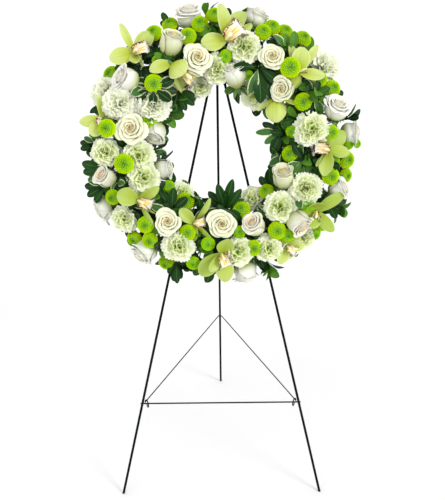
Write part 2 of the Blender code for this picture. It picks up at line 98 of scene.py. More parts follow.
# Tables. Angles are in degrees and lengths in millimetres. A head is its clock angle from the top,
# its tilt from straight forward, its radius and, where given, how much farther than usual it
# stands off. A negative tilt leans into the hole of the wreath. A look is the clock angle and the
# lean from straight forward of the line that a bloom faces. A root is the clock angle and the tilt
# of a twig, and how far it stands off the foam's core.
ROSES = {
    # number: head, look, openness, finish
    1: ((306, 25, 32), (292, 56), 0.7, "bright"),
    2: ((282, -12, 30), (300, 10), 1.0, "cream"),
    3: ((283, -52, 29), (195, 60), 0.6, "white"),
    4: ((335, 20, 34), (20, 60), 0.3, "cream"),
    5: ((345, -12, 29), (60, 16), 1.0, "cream"),
    6: ((12, -40, 33), (345, 60), 0.3, "white"),
    7: ((31, 4, 27), (330, 12), 0.85, "cream"),
    8: ((48, -20, 28), (255, 26), 0.7, "cream"),
    9: ((72, 38, 31), (15, 42), 0.75, "bright"),
    10: ((116, -42, 34), (350, 50), 0.15, "cream"),
    11: ((110, 52, 28), (60, 66), 0.8, "white"),
    12: ((134, 15, 32), (140, 58), 0.5, "blush"),
    13: ((157, -19, 29), (320, 42), 0.6, "blush"),
    14: ((180, -31, 29), (20, 12), 1.0, "cream"),
    15: ((216, -8, 28), (10, 16), 0.9, "cream"),
    16: ((256, 34, 28), (305, 45), 0.5, "blush"),
    17: ((250, -64, 28), (86, 80), 0.6, "white"),
    18: ((16, 72, 28), (25, 78), 1.0, "white"),
    19: ((169, 60, 30), (166, 84), 1.0, "white"),
    20: ((217, 64, 32), (225, 66), 1.0, "white"),
    21: ((347, 77, 31), (352, 56), 0.9, "bright"),
    22: ((84, 76, 27), (88, 82), 1.0, "white"),
    23: ((243, 76, 30), (240, 86), 1.0, "white"),
}
ORCHIDS = {
    # number: head, look, lip, shade, tepals. A lip is its clock angle, its size and, where given,
    # how far it stands out from the bloom's middle. A tepal, which is a sepal or a petal, is the
    # clock angle and the lean from straight forward that it sets out on, its length, its width,
    # how far it bends forward on its way, and its twist.
    1: ((318, 46, 32), (60, 30), (74, 1.0), 0.0, (
        (333, 80, 55, 16, -5, 10), (257, 85, 45, 32, 8, 0), (38, 102, 50, 30, -10, 0),
        (162, 62, 30, 24, 40, 0), (120, 64, 38, 17, 50, 55))),
    2: ((284, 36, 32), (280, 40), (150, 0.55), 0.05, (
        (350, 84, 42, 15, 8, 30), (260, 92, 43, 23, -5, 0), (212, 78, 36, 28, 15, 0),
        (62, 112, 34, 24, -20, 0), (146, 75, 26, 20, 30, 0))),
    3: ((330, -5, 32), (128, 75), (128, 1.25, 24), 0.0, (
        (134, 8, 42, 42, 92, 180), (256, 82, 40, 24, -6, 12), (153, 112, 54, 31, 0, 0),
        (112, 78, 56, 15, 10, 62), (167, 88, 54, 11, -5, 55))),
    4: ((4, 10, 34), (50, 28), (50, 1.2), 0.1, (
        (352, 74, 60, 26, -8, 22), (258, 84, 45, 33, 5, 0), (28, 98, 60, 31, -8, -12),
        (62, 94, 52, 18, -5, 30), (100, 86, 36, 15, 10, 40))),
    5: ((48, -36, 33), (180, 98), (180, 0.8), 0.15, (
        (177, 60, 47, 39, 48, 180), (226, 80, 40, 13, 14, 58), (118, 80, 44, 14, 15, -52),
        (330, 104, 28, 22, 0, 180), (40, 104, 30, 20, 0, 180))),
    6: ((47, 12, 32), (66, 90), (80, 0.8), 0.05, (
        (8, 62, 43, 34, 38, 180), (37, 88, 58, 20, -5, 32), (100, 80, 46, 22, 22, 165),
        (346, 98, 52, 17, 0, 0), (205, 102, 30, 24, 0, 180))),
    7: ((92, 14, 31), (285, 32), (281, 1.0), 0.6, (
        (38, 97, 46, 31, -4, 0), (95, 90, 38, 23, 5, 0), (187, 82, 47, 27, 18, 10),
        (214, 80, 36, 12, 10, 55), (325, 104, 30, 25, 0, 0))),
    8: ((124, 28, 30), (190, 50), (192, 0.9), 0.9, (
        (356, 70, 36, 40, 84, 0), (140, 70, 48, 24, 10, 168), (196, 70, 34, 27, 20, 0),
        (250, 76, 28, 18, 0, 0), (57, 86, 60, 24, -4, 10))),
    9: ((180, 14, 31), (150, 34), (160, 1.0), 0.55, (
        (18, 72, 42, 32, 45, 8), (218, 72, 38, 22, 10, -22), (230, 95, 56, 34, 0, 0),
        (168, 88, 52, 35, 0, 0), (96, 102, 36, 28, 0, 0))),
    10: ((200, -26, 29), (80, 44), (78, 0.9), 0.6, (
        (318, 82, 36, 24, 5, 0), (35, 84, 54, 15, 0, 48), (133, 84, 44, 15, 5, 45),
        (222, 96, 34, 24, 0, 0), (186, 94, 34, 20, 0, 0))),
    11: ((238, 0, 32), (110, 44), (112, 1.0), 0.7, (
        (290, 80, 39, 35, 8, 0), (60, 85, 44, 20, 0, 15), (152, 84, 50, 16, 0, 48),
        (130, 84, 38, 13, 5, 60), (345, 102, 30, 22, 0, 0))),
    12: ((146, 38, 26), (130, 30), (125, 0.9), 0.0, (
        (325, 86, 36, 26, 5, 0), (35, 86, 34, 24, 8, 0), (270, 84, 38, 24, 0, 10),
        (205, 84, 36, 22, 5, 0), (90, 84, 30, 22, 0, 0))),
}
CARNATIONS = {
    # number: heads
    1: ((294, 18, 33), (302, -31, 33), (296, 60, 29)),
    2: ((14, 3, 31),),
    3: ((358, -34, 29),),
    4: ((35, -62, 32),),
    5: ((53, 70, 34),),
    6: ((79.5, -8, 33),),
    7: ((116, -4, 31), (135, -20, 31)),
    8: ((155, 25, 27), (147, 48, 25), (138, 54, 23)),
    9: ((204, 16, 31),),
    10: ((249, -23, 32), (265, -24, 30)),
    11: ((148, -74, 26),),
    12: ((171, 14, 29),),
    13: ((221, -74, 26),),
    14: ((234, 42, 26),),
    15: ((268, 28, 29),),
    16: ((342, -68, 22.5),),
}
BUTTON_SPRAYS = {
    1: ((344, 24, 16), (351, 42, 16), (358, 66, 16.5)),
    2: ((21, 38, 15.5), (24, 60, 16), (30, 74, 16)),
    3: ((89, 72, 11.5), (96, 60, 17), (103, 72, 15), (89, 84, 9, 16)),
    4: ((133, 76, 14.5), (127, 72, 16)),
    5: ((225, 17, 16.5), (218, 34, 16), (224, 60, 16)),
    6: ((330, 70, 17), (338, 78, 15.5)),
    7: ((304, 76, 17.5), (314, -11, 17.5, 6), (324, 12, 9.5)),
    8: ((280, 21, 17, 14), (292, -36, 15.5)),
    9: ((4, -14, 12.5), (22, -37, 10)),
    10: ((42, 6, 19, 14), (38, 76, 16.5, 8), (56, 36, 15.5)),
    11: ((63, 52, 16.5), (62, -7, 17)),
    12: ((83, 22, 15), (97, 30, 10), (105, 27, 17)),
    13: ((78, -42, 12), (96, -47, 16.5)),
    14: ((124, 12, 14), (134, -63, 15)),
    15: ((146, 5, 17.5), (143, 23, 13), (141, 46, 10)),
    16: ((162, -56, 17.5), (168, -17, 12.5), (162, 14, 15.5)),
    17: ((188, 0, 13.5), (194, 40, 14), (206, 76, 16)),
    18: ((202, -9, 16), (214, -59, 18.5)),
    19: ((246, 38, 15), (261, -1, 19, 6), (234, -59, 13)),
}
GREENERY = {
    # number: root, look, leaves, leaf length, spread from the look, variegation
    5: ((34, 30, 66), (10, 35), 6, 36, 54, 0.2),
    6: ((60, 22, 68), (40, 40), 7, 40, 60, 0.1),
    7: ((98, -72, 56), (262, 68), 8, 38, 58, 0.6),
    8: ((78, 80, 66), (78, 80), 5, 30, 42, 0.1),
    11: ((318, -68, 56), (150, 70), 6, 34, 48, 0.1),
    12: ((268, -72, 56), (95, 66), 6, 32, 58, 0.5),
    14: ((252, 20, 66), (300, 35), 6, 36, 60, 0.9),
    15: ((158, 68, 66), (160, 72), 6, 36, 50, 0.1),
    17: ((354, 76, 66), (355, 78), 5, 30, 42, 0.1),
    19: ((150, -50, 62), (330, 62), 7, 38, 54, 0.2),
    20: ((118, 62, 68), (110, 70), 6, 36, 50, 0.1),
    21: ((296, -30, 68), (150, 30), 8, 42, 70, 0.0),
    22: ((240, 50, 64), (250, 60), 7, 34, 64, 0.1),
    25: ((84, -30, 62), (240, 50), 8, 42, 60, 0.0),
}
FANS = {
    # number: root, then its leaves. A leaf is the clock angle and the lean from straight forward
    # that it sets out on, its length, its width, how light it is in percent and, where given, how
    # variegated it is, up to 1.
    1: ((176, -64, 68),
        (12, 60, 62, 20, 40), (344, 58, 54, 20, 20), (36, 62, 50, 18, 45), (318, 66, 46, 19, 15),
        (293, 70, 42, 18, 35), (266, 72, 36, 17, 20, 1), (60, 68, 40, 18, 25, 1),
        (86, 66, 34, 16, 20), (0, 44, 42, 16, 30)),
    2: ((260, 30, 69),
        (283, 84, 43, 22, 45), (262, 88, 41, 20, 30), (240, 86, 36, 18, 35, 1),
        (302, 82, 30, 17, 20), (205, 84, 32, 16, 30)),
    3: ((202, 62, 60),
        (188, 84, 36, 18, 30), (166, 84, 32, 15, 20), (214, 86, 26, 15, 40), (178, 66, 40, 17, 25)),
    4: ((26, -16, 73),
        (176, 80, 60, 28, 25), (152, 82, 60, 28, 12), (198, 84, 46, 21, 20, 1),
        (270, 82, 42, 19, 10), (128, 84, 44, 20, 18), (300, 84, 34, 16, 15),
        (60, 84, 34, 16, 30, 1)),
    9: ((272, 56, 64),
        (276, 84, 28, 15, 30), (302, 84, 22, 13, 50, 1), (254, 84, 28, 15, 25),
        (228, 84, 22, 13, 30)),
    10: ((252, 48, 68),
        (272, 86, 34, 18, 30), (244, 86, 34, 18, 20), (298, 86, 30, 16, 30, 1),
        (212, 86, 32, 16, 40)),
    13: ((218, -26, 70),
        (330, 80, 42, 22, 20), (4, 82, 40, 20, 30), (286, 82, 36, 19, 25, 1), (48, 84, 34, 19, 15),
        (240, 84, 36, 18, 20), (192, 86, 34, 18, 30)),
    18: ((100, -22, 66),
        (216, 82, 36, 19, 70), (250, 84, 30, 16, 62, 1), (172, 82, 34, 23, 60),
        (140, 84, 34, 21, 66), (20, 84, 34, 18, 10), (330, 84, 34, 18, 10)),
    23: ((312, -14, 80),
        (68, 92, 36, 24, 15, 0.6), (98, 92, 38, 26, 10, 0.6), (128, 91, 34, 26, 5, 0.6),
        (156, 90, 27, 24, 12, 0.6), (184, 90, 25, 24, 8, 0.6), (212, 90, 28, 24, 10, 0.6),
        (240, 91, 34, 26, 5, 0.6), (268, 92, 37, 25, 12, 0.6), (296, 93, 32, 22, 15, 0.6),
        (330, 94, 26, 20, 10), (34, 94, 26, 20, 10)),
    24: ((38, 26, 73),
        (338, 80, 34, 18, 95), (8, 78, 36, 19, 88), (318, 82, 27, 15, 75), (200, 82, 26, 15, 50, 1),
        (60, 84, 24, 13, 40)),
    26: ((76, -62, 68),
        (176, 82, 52, 26, 12), (206, 84, 42, 22, 15), (150, 82, 48, 24, 10),
        (268, 84, 46, 17, 25, 1), (292, 88, 36, 16, 20), (120, 84, 36, 18, 20),
        (236, 84, 36, 18, 30, 1)),
    27: ((324, -52, 62),
        (160, 80, 36, 15, 30), (134, 80, 36, 17, 35), (186, 82, 38, 16, 45), (110, 84, 28, 14, 30),
        (212, 86, 28, 14, 20, 1)),
    28: ((132, -66, 64),
        (5, 76, 37, 22, 35), (328, 82, 26, 16, 20), (40, 84, 26, 15, 20)),
    29: ((324, 6, 72),
        (50, 76, 30, 21, 55), (8, 84, 22, 14, 30)),
    30: ((148, -50, 68),
        (150, 84, 38, 21, 10), (112, 84, 36, 19, 15, 1), (190, 84, 36, 19, 12),
        (72, 84, 28, 17, 20)),
    31: ((62, 10, 70),
        (330, 82, 32, 23, 35, 0.6), (150, 84, 32, 19, 60, 1), (110, 84, 30, 15, 85),
        (62, 84, 30, 17, 60), (20, 84, 26, 15, 30), (200, 84, 34, 18, 5)),
    32: ((118, 42, 70),
        (118, 84, 32, 21, 15), (82, 84, 30, 15, 20), (150, 86, 28, 16, 25)),
    33: ((338, 72, 62),
        (328, 84, 29, 14, 45), (300, 88, 20, 13, 30)),
    37: ((316, 46, 46),
        (250, 84, 34, 20, 5), (300, 86, 34, 20, 10), (0, 84, 34, 20, 5), (60, 86, 34, 20, 10),
        (120, 84, 34, 20, 5), (190, 86, 34, 20, 5)),
    34: ((317, 26, 60),
        (150, 84, 36, 21, 10), (190, 84, 36, 21, 15), (110, 86, 34, 19, 10), (235, 86, 34, 19, 20),
        (70, 88, 34, 19, 5), (20, 88, 32, 18, 10)),
    35: ((257, 14, 62),
        (30, 84, 32, 19, 10), (340, 84, 30, 18, 20), (200, 84, 34, 19, 15), (160, 84, 34, 19, 30),
        (280, 86, 30, 18, 10), (90, 86, 30, 18, 5)),
    36: ((246, 56, 62),
        (10, 86, 34, 19, 15), (320, 86, 34, 19, 25), (180, 86, 30, 17, 10), (60, 86, 30, 18, 10)),
}


def ring_frame():
    """The ring's frame, found from the foam's own extent along the leaning plane's axes."""
    right = Vector((1, 0, 0))
    up = Vector((0, math.sin(LEAN), math.cos(LEAN)))
    front = right.cross(up)
    points = [vertex.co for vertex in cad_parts["foam_ring"].data.vertices]
    centre = Vector()
    for axis in (right, up):
        reach = [axis.dot(point) for point in points]
        centre += axis * (min(reach) + max(reach)) / 2
    centre += front * (min(front.dot(point) for point in points) + FOAM_BACK)
    turn = Matrix((right, up, front)).transposed()
    return Matrix.Translation(centre) @ turn.to_4x4()


RING = ring_frame()


def clock_direction(clock, lean):
    """A direction in the ring's frame that leans from straight forward towards a clock angle."""
    angle, lean = math.radians(clock), math.radians(lean)
    side = Vector((math.sin(angle), math.cos(angle), 0.0))
    return side * math.sin(lean) + FORWARD * math.cos(lean)


def metres(millimetres):
    return millimetres / 1000


class Spot:
    """A line out of the foam at a clock angle and a tilt. Its root lies in the foam."""

    def __init__(self, clock, tilt):
        self.core = clock_direction(clock, 90) * RING_RADIUS
        self.away = clock_direction(clock, tilt)
        self.root = self.at(STEM_END)

    def at(self, reach):
        return self.core + self.away * reach


class Head(Spot):
    """One bloom on its line: its middle and its radius in metres."""

    def __init__(self, clock, tilt, radius, farther=0):
        super().__init__(clock, tilt)
        self.radius = metres(radius)
        self.centre = self.at(math.hypot(FLOWER_STAND_OFF, self.radius) + metres(farther))


def axis_matrix(centre, axis, roll):
    """Puts local Z on axis by the shortest turn from straight forward, after a roll."""
    shortest = FORWARD.rotation_difference(axis).to_matrix()
    return Matrix.Translation(centre) @ (shortest @ Matrix.Rotation(roll, 3, "Z")).to_4x4()


def ease(value):
    value = np.clip(value, 0.0, 1.0)
    return value * value * (3 - 2 * value)


def bezier(points, part):
    """A cubic through its two ends, at an array of parts from 0 to 1."""
    a, b, c, d = points
    rest = 1 - part
    return a * rest**3 + 3 * b * part * rest**2 + 3 * c * part**2 * rest + d * part**3


def quads_between(left, right):
    """Quads between the columns of two grids of point numbers."""
    corners = (left[:-1], right[:-1], right[1:], left[1:])
    return np.stack([corner.ravel() for corner in corners], axis=1)


def seed_of(name):
    """A steady number from a piece's name."""
    return sum((place + 3) * ord(letter) for place, letter in enumerate(name))


def add_object(name, data):
    obj = bpy.data.objects.new(name, data)
    bpy.context.scene.collection.objects.link(obj)
    return obj


class Shape:
    """Collects thin sheets, tubes and lobes, and makes one mesh of them.

    Each point carries four marks for its material: across, along, which petal, and chance. Faces
    and their material slots are kept apart by their number of corners.
    """

    def __init__(self, name, rng=None):
        self.name = name
        self.rng = rng or np.random.default_rng(seed_of(name))
        self.points, self.marks, self.rims = [], [], []
        self.faces = {4: [], 3: []}
        self.slots = {4: [], 3: []}
        self.count = 0
        self.matrix = RING.copy()

    def take(self, points, marks, rims):
        """Keeps points in the frame's axes, and returns the number of the first."""
        turn = np.array(self.matrix.to_3x3())
        place = np.array(self.matrix.translation)
        self.points.append(points @ turn.T + place)
        self.marks.append(marks)
        self.rims.append(rims)
        first = self.count
        self.count += len(points)
        return first

    def take_faces(self, faces, slot):
        sides = faces.shape[1]
        self.faces[sides].append(faces.astype(np.int32))
        self.slots[sides].append(np.full(len(faces), slot, dtype=np.int32))

    def sheet(self, points, thickness, along, petal, chance, slot=0):
        """A thin closed sheet on a grid: two sides that meet along the grid's edge."""
        rows, columns = points.shape[:2]
        marks = np.zeros((rows, columns, 4))
        marks[..., 0] = np.linspace(0, 1, columns)
        marks[..., 1] = along
        marks[..., 2:] = petal, chance
        normal = np.cross(np.gradient(points, axis=1), np.gradient(points, axis=0))
        length = np.linalg.norm(normal, axis=2, keepdims=True)
        normal = normal / np.maximum(length, 1e-12)
        inner = np.s_[1:-1, 1:-1]
        inside = np.zeros((rows, columns, 1))
        inside[inner] = thickness / 2
        front = (points + normal * inside).reshape(-1, 3)
        back = (points - normal * inside)[inner].reshape(-1, 3)
        rim = np.ones((rows, columns), dtype=bool)
        rim[inner] = False
        all_marks = np.concatenate([marks.reshape(-1, 4), marks[inner].reshape(-1, 4)])
        rims = np.concatenate([rim.ravel(), np.zeros(len(back), dtype=bool)])
        first = self.take(np.concatenate([front, back]), all_marks, rims)
        near = np.arange(rows * columns).reshape(rows, columns)
        far = near.copy()
        far[inner] = len(front) + np.arange(len(back)).reshape(rows - 2, columns - 2)
        for grid, step in ((near, 1), (far, -1)):
            faces = quads_between(grid[:, :-1], grid[:, 1:])
            self.take_faces(faces[:, ::step] + first, slot)

    def rings(self, rings, marks, slot=0):
        """A closed skin through rings of points, with a fan over each end."""
        count, sides = rings.shape[:2]
        everything, all_marks = (
            np.concatenate([values.reshape(count * sides, -1), values[[0, -1]].mean(axis=1)])
            for values in (rings, marks)
        )
        first = self.take(everything, all_marks, np.zeros(len(everything), dtype=bool))
        grid = np.arange(count * sides).reshape(count, sides)
        after = np.roll(grid, -1, axis=1)
        self.take_faces(quads_between(grid, after) + first, slot)
        low, high = np.full(sides, grid.size), np.full(sides, grid.size + 1)
        start = np.stack([after[0], grid[0], low], axis=1)
        finish = np.stack([grid[-1], after[-1], high], axis=1)
        self.take_faces(np.concatenate([start, finish]) + first, slot)

    def tube(self, line, radii, sides, slot, petal=0.5):
        """A round closed tube along a line of points."""
        tangent = np.gradient(line, axis=0)
        tangent /= np.linalg.norm(tangent, axis=1, keepdims=True)
        side = np.cross(tangent[0], (0.3, 0.5, 0.8))
        rings = []
        angles = np.arange(sides) * 2 * math.pi / sides
        for point, ahead, radius in zip(line, tangent, radii):
            side = side - ahead * side.dot(ahead)
            side /= np.linalg.norm(side)
            other = np.cross(ahead, side)
            circle = np.outer(np.cos(angles), side) + np.outer(np.sin(angles), other)
            rings.append(point + circle * radius)
        marks = np.full((len(line), sides, 4), 0.5)
        marks[..., 1] = np.linspace(0, 1, len(line))[:, None]
        marks[..., 2] = petal
        self.rings(np.array(rings), marks, slot)

    def finish(self, ending, materials, slot_name, body=RING_BODY):
        """Makes the mesh object, tells the frame what it rides on, and hides the CAD part of its
        name.
        """
        name, node = self.name + ending, self.name
        mesh = bpy.data.meshes.new(name)
        points = np.concatenate(self.points).astype(np.float32)
        quads, triangles = (np.concatenate(self.faces[sides]).tolist() for sides in (4, 3))
        mesh.from_pydata(points, [], quads + triangles)
        mesh.polygons.foreach_set("material_index", np.concatenate(self.slots[4] + self.slots[3]))
        mesh.shade_smooth()
        self.sharpen(mesh)
        marks = mesh.attributes.new("marks", "FLOAT_COLOR", "POINT")
        marks.data.foreach_set("color", np.concatenate(self.marks).astype(np.float32).ravel())
        for material in materials:
            mesh.materials.append(material)
        obj = add_object(name, mesh)
        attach(obj, body)
        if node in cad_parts:
            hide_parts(node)

    def sharpen(self, mesh):
        """The thin edges of the sheets don't shade round from one side to the other."""
        rims = np.concatenate(self.rims)
        ends = np.zeros(len(mesh.edges) * 2, dtype=np.int32)
        mesh.edges.foreach_get("vertices", ends)
        sharp = mesh.attributes.new("sharp_edge", "BOOLEAN", "EDGE")
        sharp.data.foreach_set("value", rims[ends.reshape(-1, 2)].all(axis=1))


def sheet_grid(stations, columns):
    """A sheet's stations from its root, 0, to its tip, 1, and its columns from -1 to 1."""
    return np.array(stations)[:, None], np.linspace(-1, 1, columns)[None, :]


def spoke(turn):
    """The way out from Z at a turn about it, and the way round it."""
    cosine, sine = math.cos(turn), math.sin(turn)
    return np.array((cosine, sine, 0.0)), np.array((-sine, cosine, 0.0))


def lean_out(outwards, lean):
    """The way that leans from Z towards outwards, and the way that its upper face looks."""
    ahead = outwards * math.sin(lean) + Z_AXIS * math.cos(lean)
    upper = Z_AXIS * math.sin(lean) - outwards * math.cos(lean)
    return ahead, upper


def spanned(start, *ways):
    """Points that set out from a start and go a distance along each of some ways."""
    for distance, way in ways:
        start = start + distance[..., None] * way
    return start


# Blooms, each about local Z with its stem below. Their forms are in parts of the bloom's radius.


def whorl(petal, petals, sway, shape, size, *form):
    """Petals from the heart outwards, each about a golden angle round from the one before."""
    for number in range(petals):
        turn = number * GOLDEN + shape.rng.normal(0, sway)
        petal(shape, size, number / (petals - 1), turn, shape.rng.random(3), *form)


def upright_core(shape, size, heights, radii, sides=8, slot=1):
    """The green calyx under a bloom, or the dome inside it."""
    shape.tube(np.outer(heights, (0, 0, size)), np.array(radii) * size, sides, slot)


def sepals(shape, inner, reach, start, drop):
    """Narrow green sepals that leave the calyx and curl."""
    v, u = sheet_grid(np.linspace(0, 1, 6), 4)
    width = 0.26 * reach * np.sin(math.pi * np.clip(0.18 + 0.8 * v, 0, 1)) ** 0.8
    for number in range(SEPALS):
        turn = 2 * math.pi * number / SEPALS + 0.3
        outwards, sideways = spoke(turn)
        out, height = (inner + reach * v, outwards), (start + drop * v**2, Z_AXIS)
        points = spanned(0.0, out, (u * width, sideways), height)
        shape.sheet(points, LEAF_THICKNESS, v, 0.5, number / SEPALS, 1)


def rose_petal(shape, size, t, turn, chance, openness):
    """One petal: t is 0 at the heart of the rose and 1 at its guard petals.

    It rises as a wall from the calyx, then its rim rolls outwards in an arc.
    """
    stations = (0, 0.22, 0.42, 0.58, 0.70, 0.79, 0.86, 0.92, 0.97, 1.0)
    v, u = sheet_grid(stations, 9 if t < 0.3 else 12)
    first, second, third = chance
    spread = 0.42 + 0.58 * openness
    wall = 0.05 + (0.30 + 0.34 * spread) * t**0.95 + 0.03 * (first - 0.5) * t
    roll = (0.035 + 0.20 * t) * spread * (0.8 + 0.4 * second)
    top = 0.62 - 0.46 * openness * t**1.35 - 0.10 * t + 0.04 * second
    low = -0.80 * min(1.0, 0.30 + 2.0 * t)
    along = v * (1 - 0.10 * u**2 - 0.15 * u**6)
    along = along + 0.02 * t * np.exp(-((u / 0.25) ** 2)) * v**6
    rise = np.clip(along / 0.72, 0, 1)
    radius = bezier((0.06 + 0.05 * t, wall * 1.10 + 0.05, wall * 1.16 + 0.03, wall), rise)
    height = bezier((low, low + 0.30 * (top - low), top - 0.40 * (top - low), top), rise)
    bow = math.radians(58 + 62 * t * spread) * np.clip((along - 0.72) / 0.28, 0, 1.1)
    radius = radius + roll * (1 - np.cos(bow))
    height = height + roll * 0.9 * np.sin(bow)
    half_angle = math.radians(118 - 48 * t)
    around = turn + u * half_angle * (0.5 + 0.5 * np.sin(math.pi * (0.10 + 0.75 * v)))
    radius = radius * (1 + (0.15 - 0.09 * t) * u)
    wave = np.sin(2.6 * u + 6.3 * third) + 0.5 * np.sin(5.1 * u + 9.0 * first)
    radius = radius + 0.020 * t * wave * v**3
    height = height + 0.022 * t * np.sin(4.2 * u + 7.0 * second) * v**3
    points = np.stack([radius * np.cos(around), radius * np.sin(around), height], axis=-1)
    shape.sheet(points * size, PETAL_THICKNESS, along, t, third)


def rose(shape, size, openness):
    whorl(rose_petal, ROSE_PETALS, 0.10, shape, size, openness)
    heights = (-0.74, -0.80, -0.90, -1.02, -1.10)
    upright_core(shape, size, heights, (0.20, 0.24, 0.21, 0.12, 0.07))
    sepals(shape, 0.16 * size, 0.50 * size, -0.78 * size, -0.34 * size)


def carnation_petal(shape, size, t, turn, chance):
    """One pinked, ruffled petal: t is 0 in the middle of the head and 1 at its outside."""
    v, u = sheet_grid((0, 0.30, 0.55, 0.74, 0.88, 1.0), 15)
    polar = math.radians(6 + 88 * t**0.75 + 12 * (chance[0] - 0.5))
    reach = size * (0.80 + 0.20 * math.sin(polar) ** 2 + 0.16 * (chance[1] - 0.5))
    fan = math.radians(42 - 4 * t) * ease((v - 0.02) / 0.60)
    teeth = np.where(np.arange(u.size) % 2 == 0, 1.0, -1.0)[None, :]
    length = v * (1 - 0.12 * u**2 + 0.05 * np.sin(5 * u + 9 * chance[2]) * v)
    length = length + 0.032 * teeth * np.clip((v - 0.85) / 0.15, 0, 1)
    ruffle = np.sin(5.2 * u + 20 * chance[0]) + 0.5 * np.sin(11.0 * u + 20 * chance[1])
    depth = size * (0.070 + 0.085 * (1 - t) ** 1.5) * v**2
    droop = size * 0.14 * t**3 * v**3
    lift = ruffle * depth + size * 0.12 * (chance[2] - 0.5) * v**2
    outwards, sideways = spoke(turn)
    ahead, upper = lean_out(outwards, polar)
    out = length * reach * np.cos(fan * u)
    aside = length * reach * np.sin(fan * u)
    points = spanned(0.0, (out, ahead), (aside, sideways), (lift - droop, upper))
    shape.sheet(points - Z_AXIS * (0.34 * size), PETAL_THICKNESS, v, t, chance[1])


def carnation(shape, size):
    whorl(carnation_petal, CARNATION_PETALS, 0.15, shape, size)
    heights = (-0.22, -0.34, -0.60, -0.95, -1.12)
    upright_core(shape, size, heights, (0.26, 0.26, 0.22, 0.19, 0.08))
    sepals(shape, 0.20 * size, 0.24 * size, -0.36 * size, 0.04 * size)


def sheet_frame(clock, lean, twist):
    """The way that a petal or leaf sets out, and the way that its face looks, in the ring."""
    ahead = clock_direction(clock, lean)
    upper = (FORWARD - ahead * ahead.z).normalized()
    upper = Matrix.Rotation(math.radians(twist), 3, ahead) @ upper
    return np.array(ahead), np.array(upper)


def tepal(shape, ahead, upper, length, width, bend, shade, chance):
    """One sepal or petal of an orchid, bent along an arc towards the way that its face looks."""
    rows = 13
    v, u = sheet_grid(np.linspace(0, 1, rows), 9)
    slope = math.radians(bend) * v - math.radians(14) * v**3
    step = np.full((rows, 1), length / (rows - 1))
    step[0] = 0
    out = 0.0015 + np.cumsum(step * np.cos(slope), axis=0)
    rise = np.cumsum(step * np.sin(slope), axis=0)
    half = width / 2 * np.sin(math.pi * (0.09 + 0.885 * v) ** 1.22) ** 0.62
    cup = (0.34 if chance > 0.25 or bend > 40 else -0.12) * half * u**2
    crease = -0.012 * length * np.exp(-((u / 0.16) ** 2)) * np.sin(math.pi * v)
    wave = 0.022 * length * np.sin(5 * v + 9 * chance + 2 * u) * u**2
    lift = cup + crease + wave
    radius = out - lift * np.sin(slope)
    height = rise + lift * np.cos(slope)
    sway = 0.05 * length * math.sin(9 * chance) * v**2
    across = (u * half + sway, np.cross(ahead, upper))
    points = spanned(0.0, (radius, ahead), across, (height, upper))
    shape.sheet(points, TEPAL_THICKNESS, v, shade, chance)


def orchid_lip(shape, size, chance):
    """The lip: side lobes that rise beside the column, and a broad ruffled lobe that curls down."""
    v, u = sheet_grid(np.linspace(0, 1, 19), 17)
    down = bezier((0.02, 0.10, 0.66, 1.02), v)
    out = bezier((0.05, 0.54, 0.66, 0.16), v)
    stations = (0.0, 0.18, 0.36, 0.50, 0.64, 0.80, 0.92, 1.0)
    half = np.interp(v, stations, (0.14, 0.40, 0.47, 0.42, 0.50, 0.54, 0.42, 0.14))
    lift = np.interp(v, stations, (0.18, 0.42, 0.40, 0.18, 0.04, -0.06, -0.10, -0.10))
    ruffle = 0.060 * np.sin(7 * u + 9 * v + 6 * chance) * u**2
    ruffle = ruffle * ease((v - 0.40) / 0.3)
    ruffle = ruffle + 0.045 * np.sin(7 * u + 6 * chance) * ease((v - 0.80) / 0.2)
    curl_in = 1 - 0.30 * ease(lift / 0.4) * u**2
    angle = np.arctan2(np.gradient(down, axis=0), np.gradient(out, axis=0))
    offset = lift * u**2 + ruffle
    y = -(down - offset * np.cos(angle))
    z = out + offset * np.sin(angle)
    points = np.stack(np.broadcast_arrays(u * half * curl_in, y, z), axis=-1) * size
    shape.sheet(points, TEPAL_THICKNESS, v, 1.0, chance, 1)


def orchid_column(shape, size):
    """The arched column over the lip, with its cap, and the two ridges on the lip."""
    part = np.linspace(0, 1, 9)
    y = bezier((0.0, 0.13, 0.16, 0.02), part)
    z = bezier((0.02, 0.22, 0.44, 0.60), part)
    line = np.stack([part * 0, y, z], axis=1) * size
    radii = np.interp(part, (0, 0.15, 0.7, 0.86, 0.95, 1), (0.10, 0.10, 0.085, 0.105, 0.085, 0.03))
    shape.tube(line, radii * size, 10, 2, petal=0.0)
    part = np.linspace(0, 1, 7)
    y = -bezier((0.10, 0.20, 0.34, 0.50), part)
    z = bezier((0.20, 0.42, 0.50, 0.53), part)
    radii = 0.05 * np.sin(math.pi * (0.12 + 0.80 * part)) * size
    for side in (-1, 1):
        line = np.stack([side * (0.055 + 0.02 * part), y, z], axis=1) * size
        shape.tube(line, radii, 7, 2, petal=1.0)


